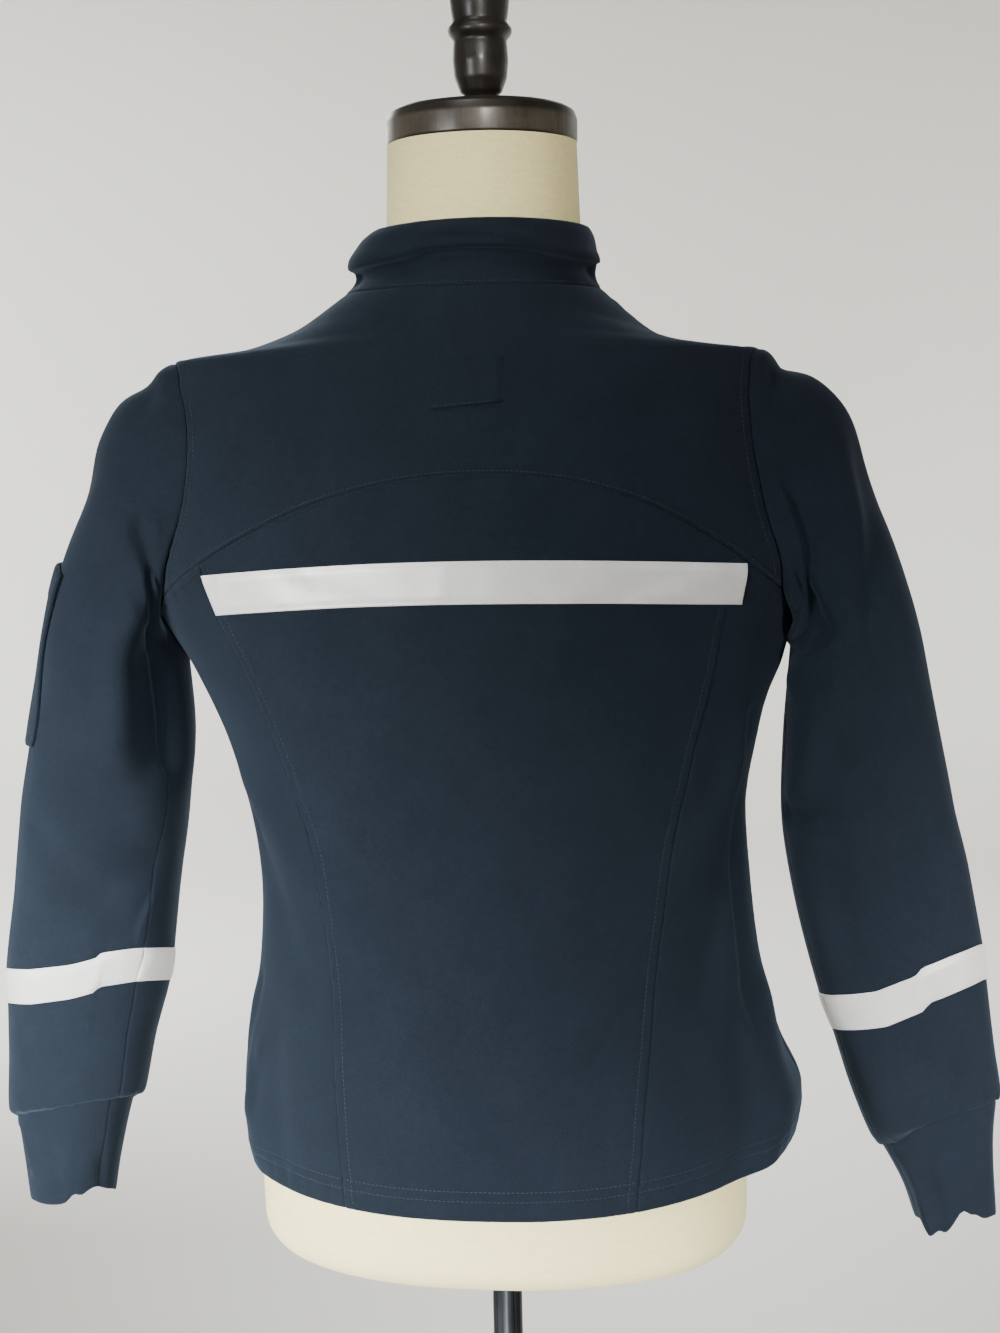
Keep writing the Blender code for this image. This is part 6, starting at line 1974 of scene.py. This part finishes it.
def tape_look():
    made, tree, shader = principled("reflective_tape", 0.42, 0.15, Specular_IOR_Level=0.5)
    beads = node(tree, "ShaderNodeTexVoronoi", Vector=located(tree, 0.0006, "UV"), Scale=1.0)[0]
    worn = noise(tree, 0.012, 3.0, 0.6)
    grain = noise(tree, 0.0016, 3.0, 0.7)
    colour = tinted(tree, TAPE_COLOUR, spread(tree, worn, 0.965, 1.02), spread(tree, grain, 0.95, 1.04))
    rough = spread(tree, worn, 0.36, 0.50)
    finish_look(tree, shader, colour, maths(tree, "ADD", beads, grain), 0.00012, 0.35, rough)
    return made


def linen_look():
    made, tree, shader = principled("linen", 0.88, Specular_IOR_Level=0.25, Sheen_Weight=0.15)
    axes = axes_of(tree)
    turn = maths(tree, "ARCTAN2", axes[1], axes[0])
    slub = noise(tree, (0.010, 0.010, 0.0016), 2.0, 0.6)
    warp = maths(tree, "SINE", maths(tree, "MULTIPLY", turn, WARPS))
    weft = maths(tree, "SINE", maths(tree, "MULTIPLY", axes[2], 2 * math.pi / WEFT))
    weave = maths(tree, "MULTIPLY", warp, weft)
    colour = tinted(tree, LINEN_COLOUR, spread(tree, slub, 0.95, 1.03),
                    spread(tree, noise(tree, 0.0014, 3.0), 0.95, 1.04),
                    spread(tree, noise(tree, 0.07, 2.0), 0.97, 1.02))
    height = maths(tree, "ADD", maths(tree, "MULTIPLY", weave, 0.3), slub)
    finish_look(tree, shader, colour, height, 0.0002, 0.5)
    return made


def wood_look():
    made, tree, shader = principled("dark_wood", 0.42, Specular_IOR_Level=0.4, Coat_Weight=0.12,
                                    Coat_Roughness=0.2)
    grain = noise(tree, (0.0030, 0.0030, 0.022), 4.0, 0.6)
    blotch = noise(tree, (0.018, 0.018, 0.010), 3.0, 0.55)
    z = axes_of(tree)[2]
    # Painted shade: the cap's wood darkens by height at its up-facing rim and at its foot, where it sits on the neck
    rim_shade, foot = ranged(tree, z, *CAP_RIM_SHADE), ranged(tree, z, *CAP_FOOT_SHADE)
    colour = tinted(tree, WOOD_COLOUR, spread(tree, grain, 0.75, 1.2), spread(tree, blotch, 0.55, 1.15),
                    rim_shade, foot)
    finish_look(tree, shader, colour, grain, 0.0003, 0.35, spread(tree, blotch, 0.30, 0.48))
    return made


def metal_look(name, base, roughness, grain, metallic=1.0, grain_and_highlight_range=(0.85, 1.12)):
    made, tree, shader = principled(name, roughness, metallic)
    lines = noise(tree, grain, 3.0, 0.6)
    cloud = noise(tree, (0.02, 0.02, 0.05), 2.0)
    # The streaks' colour spreads over this range: brushed grain, and on the pole painted highlights as well
    colour = tinted(tree, base, spread(tree, lines, *grain_and_highlight_range), spread(tree, cloud, 0.93, 1.05))
    finish_look(tree, shader, colour, lines, 0.00005, 0.3,
                spread(tree, cloud, roughness * 0.85, roughness * 1.2))
    return made


def plastic_look(name, base):
    made, tree, shader = principled(name, 0.4, Specular_IOR_Level=0.45)
    fine = noise(tree, 0.0008, 3.0, 0.6)
    finish_look(tree, shader, tinted(tree, base, spread(tree, fine, 0.9, 1.1)), fine, 0.00005, 0.4,
                spread(tree, fine, 0.34, 0.48))
    return made


def wall_look():
    made, tree, shader = principled("plain_wall", 0.95, Specular_IOR_Level=0.1)
    plaster = noise(tree, 0.05, 3.0, 0.6)
    cloud = noise(tree, 0.9, 2.0)
    colour = tinted(tree, WALL_COLOUR, spread(tree, cloud, 0.985, 1.01))
    finish_look(tree, shader, colour, plaster, 0.001, 0.1)
    return made


def make_looks():
    return {
        "cloth": cloth_look("fleece", CLOTH_COLOUR, *STITCH_SIZE),
        "rib": cloth_look("rib_knit", CLOTH_COLOUR, *STITCH_SIZE, ribbed=True),
        "thread": thread_look("navy_thread", THREAD_COLOUR),
        "white": thread_look("white_thread", WHITE_THREAD_COLOUR),
        "tape": tape_look(),
        "form": linen_look(),
        "wood": wood_look(),
        # The pole's streaks span a wide range: painted highlights along its brushed grain
        "pole": metal_look("grey_metal", POLE_COLOUR, 0.34, (0.0030, 0.0030, 0.5), 1.0, (0.1, 3.0)),
        "base": metal_look("satin_black", BASE_COLOUR, 0.45, 0.0012, 0.5),
        "metal": metal_look("dark_nickel", NICKEL_COLOUR, 0.32, (0.0009, 0.0009, 0.006)),
        "zip": plastic_look("zip_plastic", ZIP_COLOUR),
        "zip_tape": cloth_look("zip_weave", CLOTH_COLOUR, 0.0010, 0.0010),
        "wall": wall_look(),
    }


def make_camera():
    """The photo's camera, turned from looking at the axis by where the axis is in the picture."""
    azimuth, pitch, roll = (math.radians(angle) for angle in CAMERA_ANGLES)
    ahead = Vector((-math.sin(azimuth), math.cos(azimuth), 0))
    place = -CAMERA_DISTANCE * ahead + Vector((0, 0, CAMERA_HEIGHT))
    yaw = math.atan(CAMERA_ASIDE / CAMERA_PIXELS)
    up = Vector((0, 0, 1))
    level = ahead * math.cos(yaw) + ahead.cross(up) * math.sin(yaw)
    right = level.cross(up)
    forward = level * math.cos(pitch) - up * math.sin(pitch)
    above = right.cross(forward)
    x = right * math.cos(roll) - above * math.sin(roll)
    y = right * math.sin(roll) + above * math.cos(roll)
    camera = bpy.data.cameras.new("Camera")
    camera.sensor_fit = "AUTO"
    camera.sensor_width = 36
    camera.lens = 36 * CAMERA_PIXELS / PHOTO_HEIGHT
    made = bpy.data.objects.new("Camera", camera)
    made.matrix_world = Matrix.Translation(place) @ Matrix((x, y, -forward)).transposed().to_4x4()
    bpy.context.scene.collection.objects.link(made)
    bpy.context.scene.camera = made


def area_light(name, place, aim, size, power, spread, colour):
    light = bpy.data.lights.new(name, "AREA")
    light.size = size
    light.energy = power
    light.spread = math.radians(spread)
    light.color = colour
    made = bpy.data.objects.new(name, light)
    made.visible_camera = False
    made.location = place
    made.rotation_euler = (Vector(aim) - Vector(place)).to_track_quat("-Z", "Y").to_euler()
    bpy.context.scene.collection.objects.link(made)


def make_stage():
    """A round bowl for a floor and wall without a corner, the room's light and the lamps."""
    at = np.linspace(0, len(BACKDROP) - 1, 50)
    r, z = (smooth(column, at) for column in zip(*BACKDROP))
    grid = turned(r, z, 128)
    faces = np.roll(ring_quads(*grid.shape[:2]), -1, axis=1)
    mesh = new_mesh("backdrop", grid.reshape(-1, 3), faces)
    mesh.materials.append(LOOKS["wall"])
    bowl = bpy.data.objects.new("backdrop", mesh)
    bpy.context.scene.collection.objects.link(bowl)
    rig.stage(bowl)
    world = bpy.data.worlds.new("Room")
    world.use_nodes = True
    background = world.node_tree.nodes["Background"]
    background.inputs["Color"].default_value = (*ROOM_COLOUR, 1)
    background.inputs["Strength"].default_value = ROOM_STRENGTH
    bpy.context.scene.world = world
    for lamp in LAMPS:
        area_light(*lamp)


LOOKS = make_looks()
lines = make_body()
white = make_tape("back_tape", back_tape())
collar = make_collar()
lines += [line_on(collar, "foot", BANDED.stitches[0], trim=0.004)]
for word, side, table, cuff, folds, creases, seam in (
    ("left", 1, SLEEVE_LEFT, CUFF_LEFT, LEFT_FOLDS + LEFT_SOFT, LEFT_CREASES, LEFT_SEAM),
    ("right", -1, SLEEVE_RIGHT, CUFF_RIGHT, RIGHT_FOLDS + RIGHT_SOFT, RIGHT_CREASES, RIGHT_SEAM),
):
    band, shape = make_sleeve(word, side, table, cuff, folds, creases, seam)
    white += make_tape(f"sleeve_tape_{word}", band, ring=True)
    if side > 0:
        lines += make_pocket(shape)
lines += make_patch()
thread("topstitching", lines, LOOKS["thread"])
thread("tape_stitching", white, LOOKS["white"], TAPE_THREAD_RADIUS, "tape")
make_zip()
make_slider()
make_pull_tab()
make_form()
make_stand()
make_camera()
make_stage()
for sheet, flat, area, held, rests_on in SHEETS:
    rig.sheet(sheet, flat=flat, held=held, area=area, rests_on=rests_on)
with open("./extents.json", "w") as out:
    json.dump({"cad": [list(map(float, p)) for p in CAD_BOX],
               "visual": [list(map(float, p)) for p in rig.bounds()]}, out)
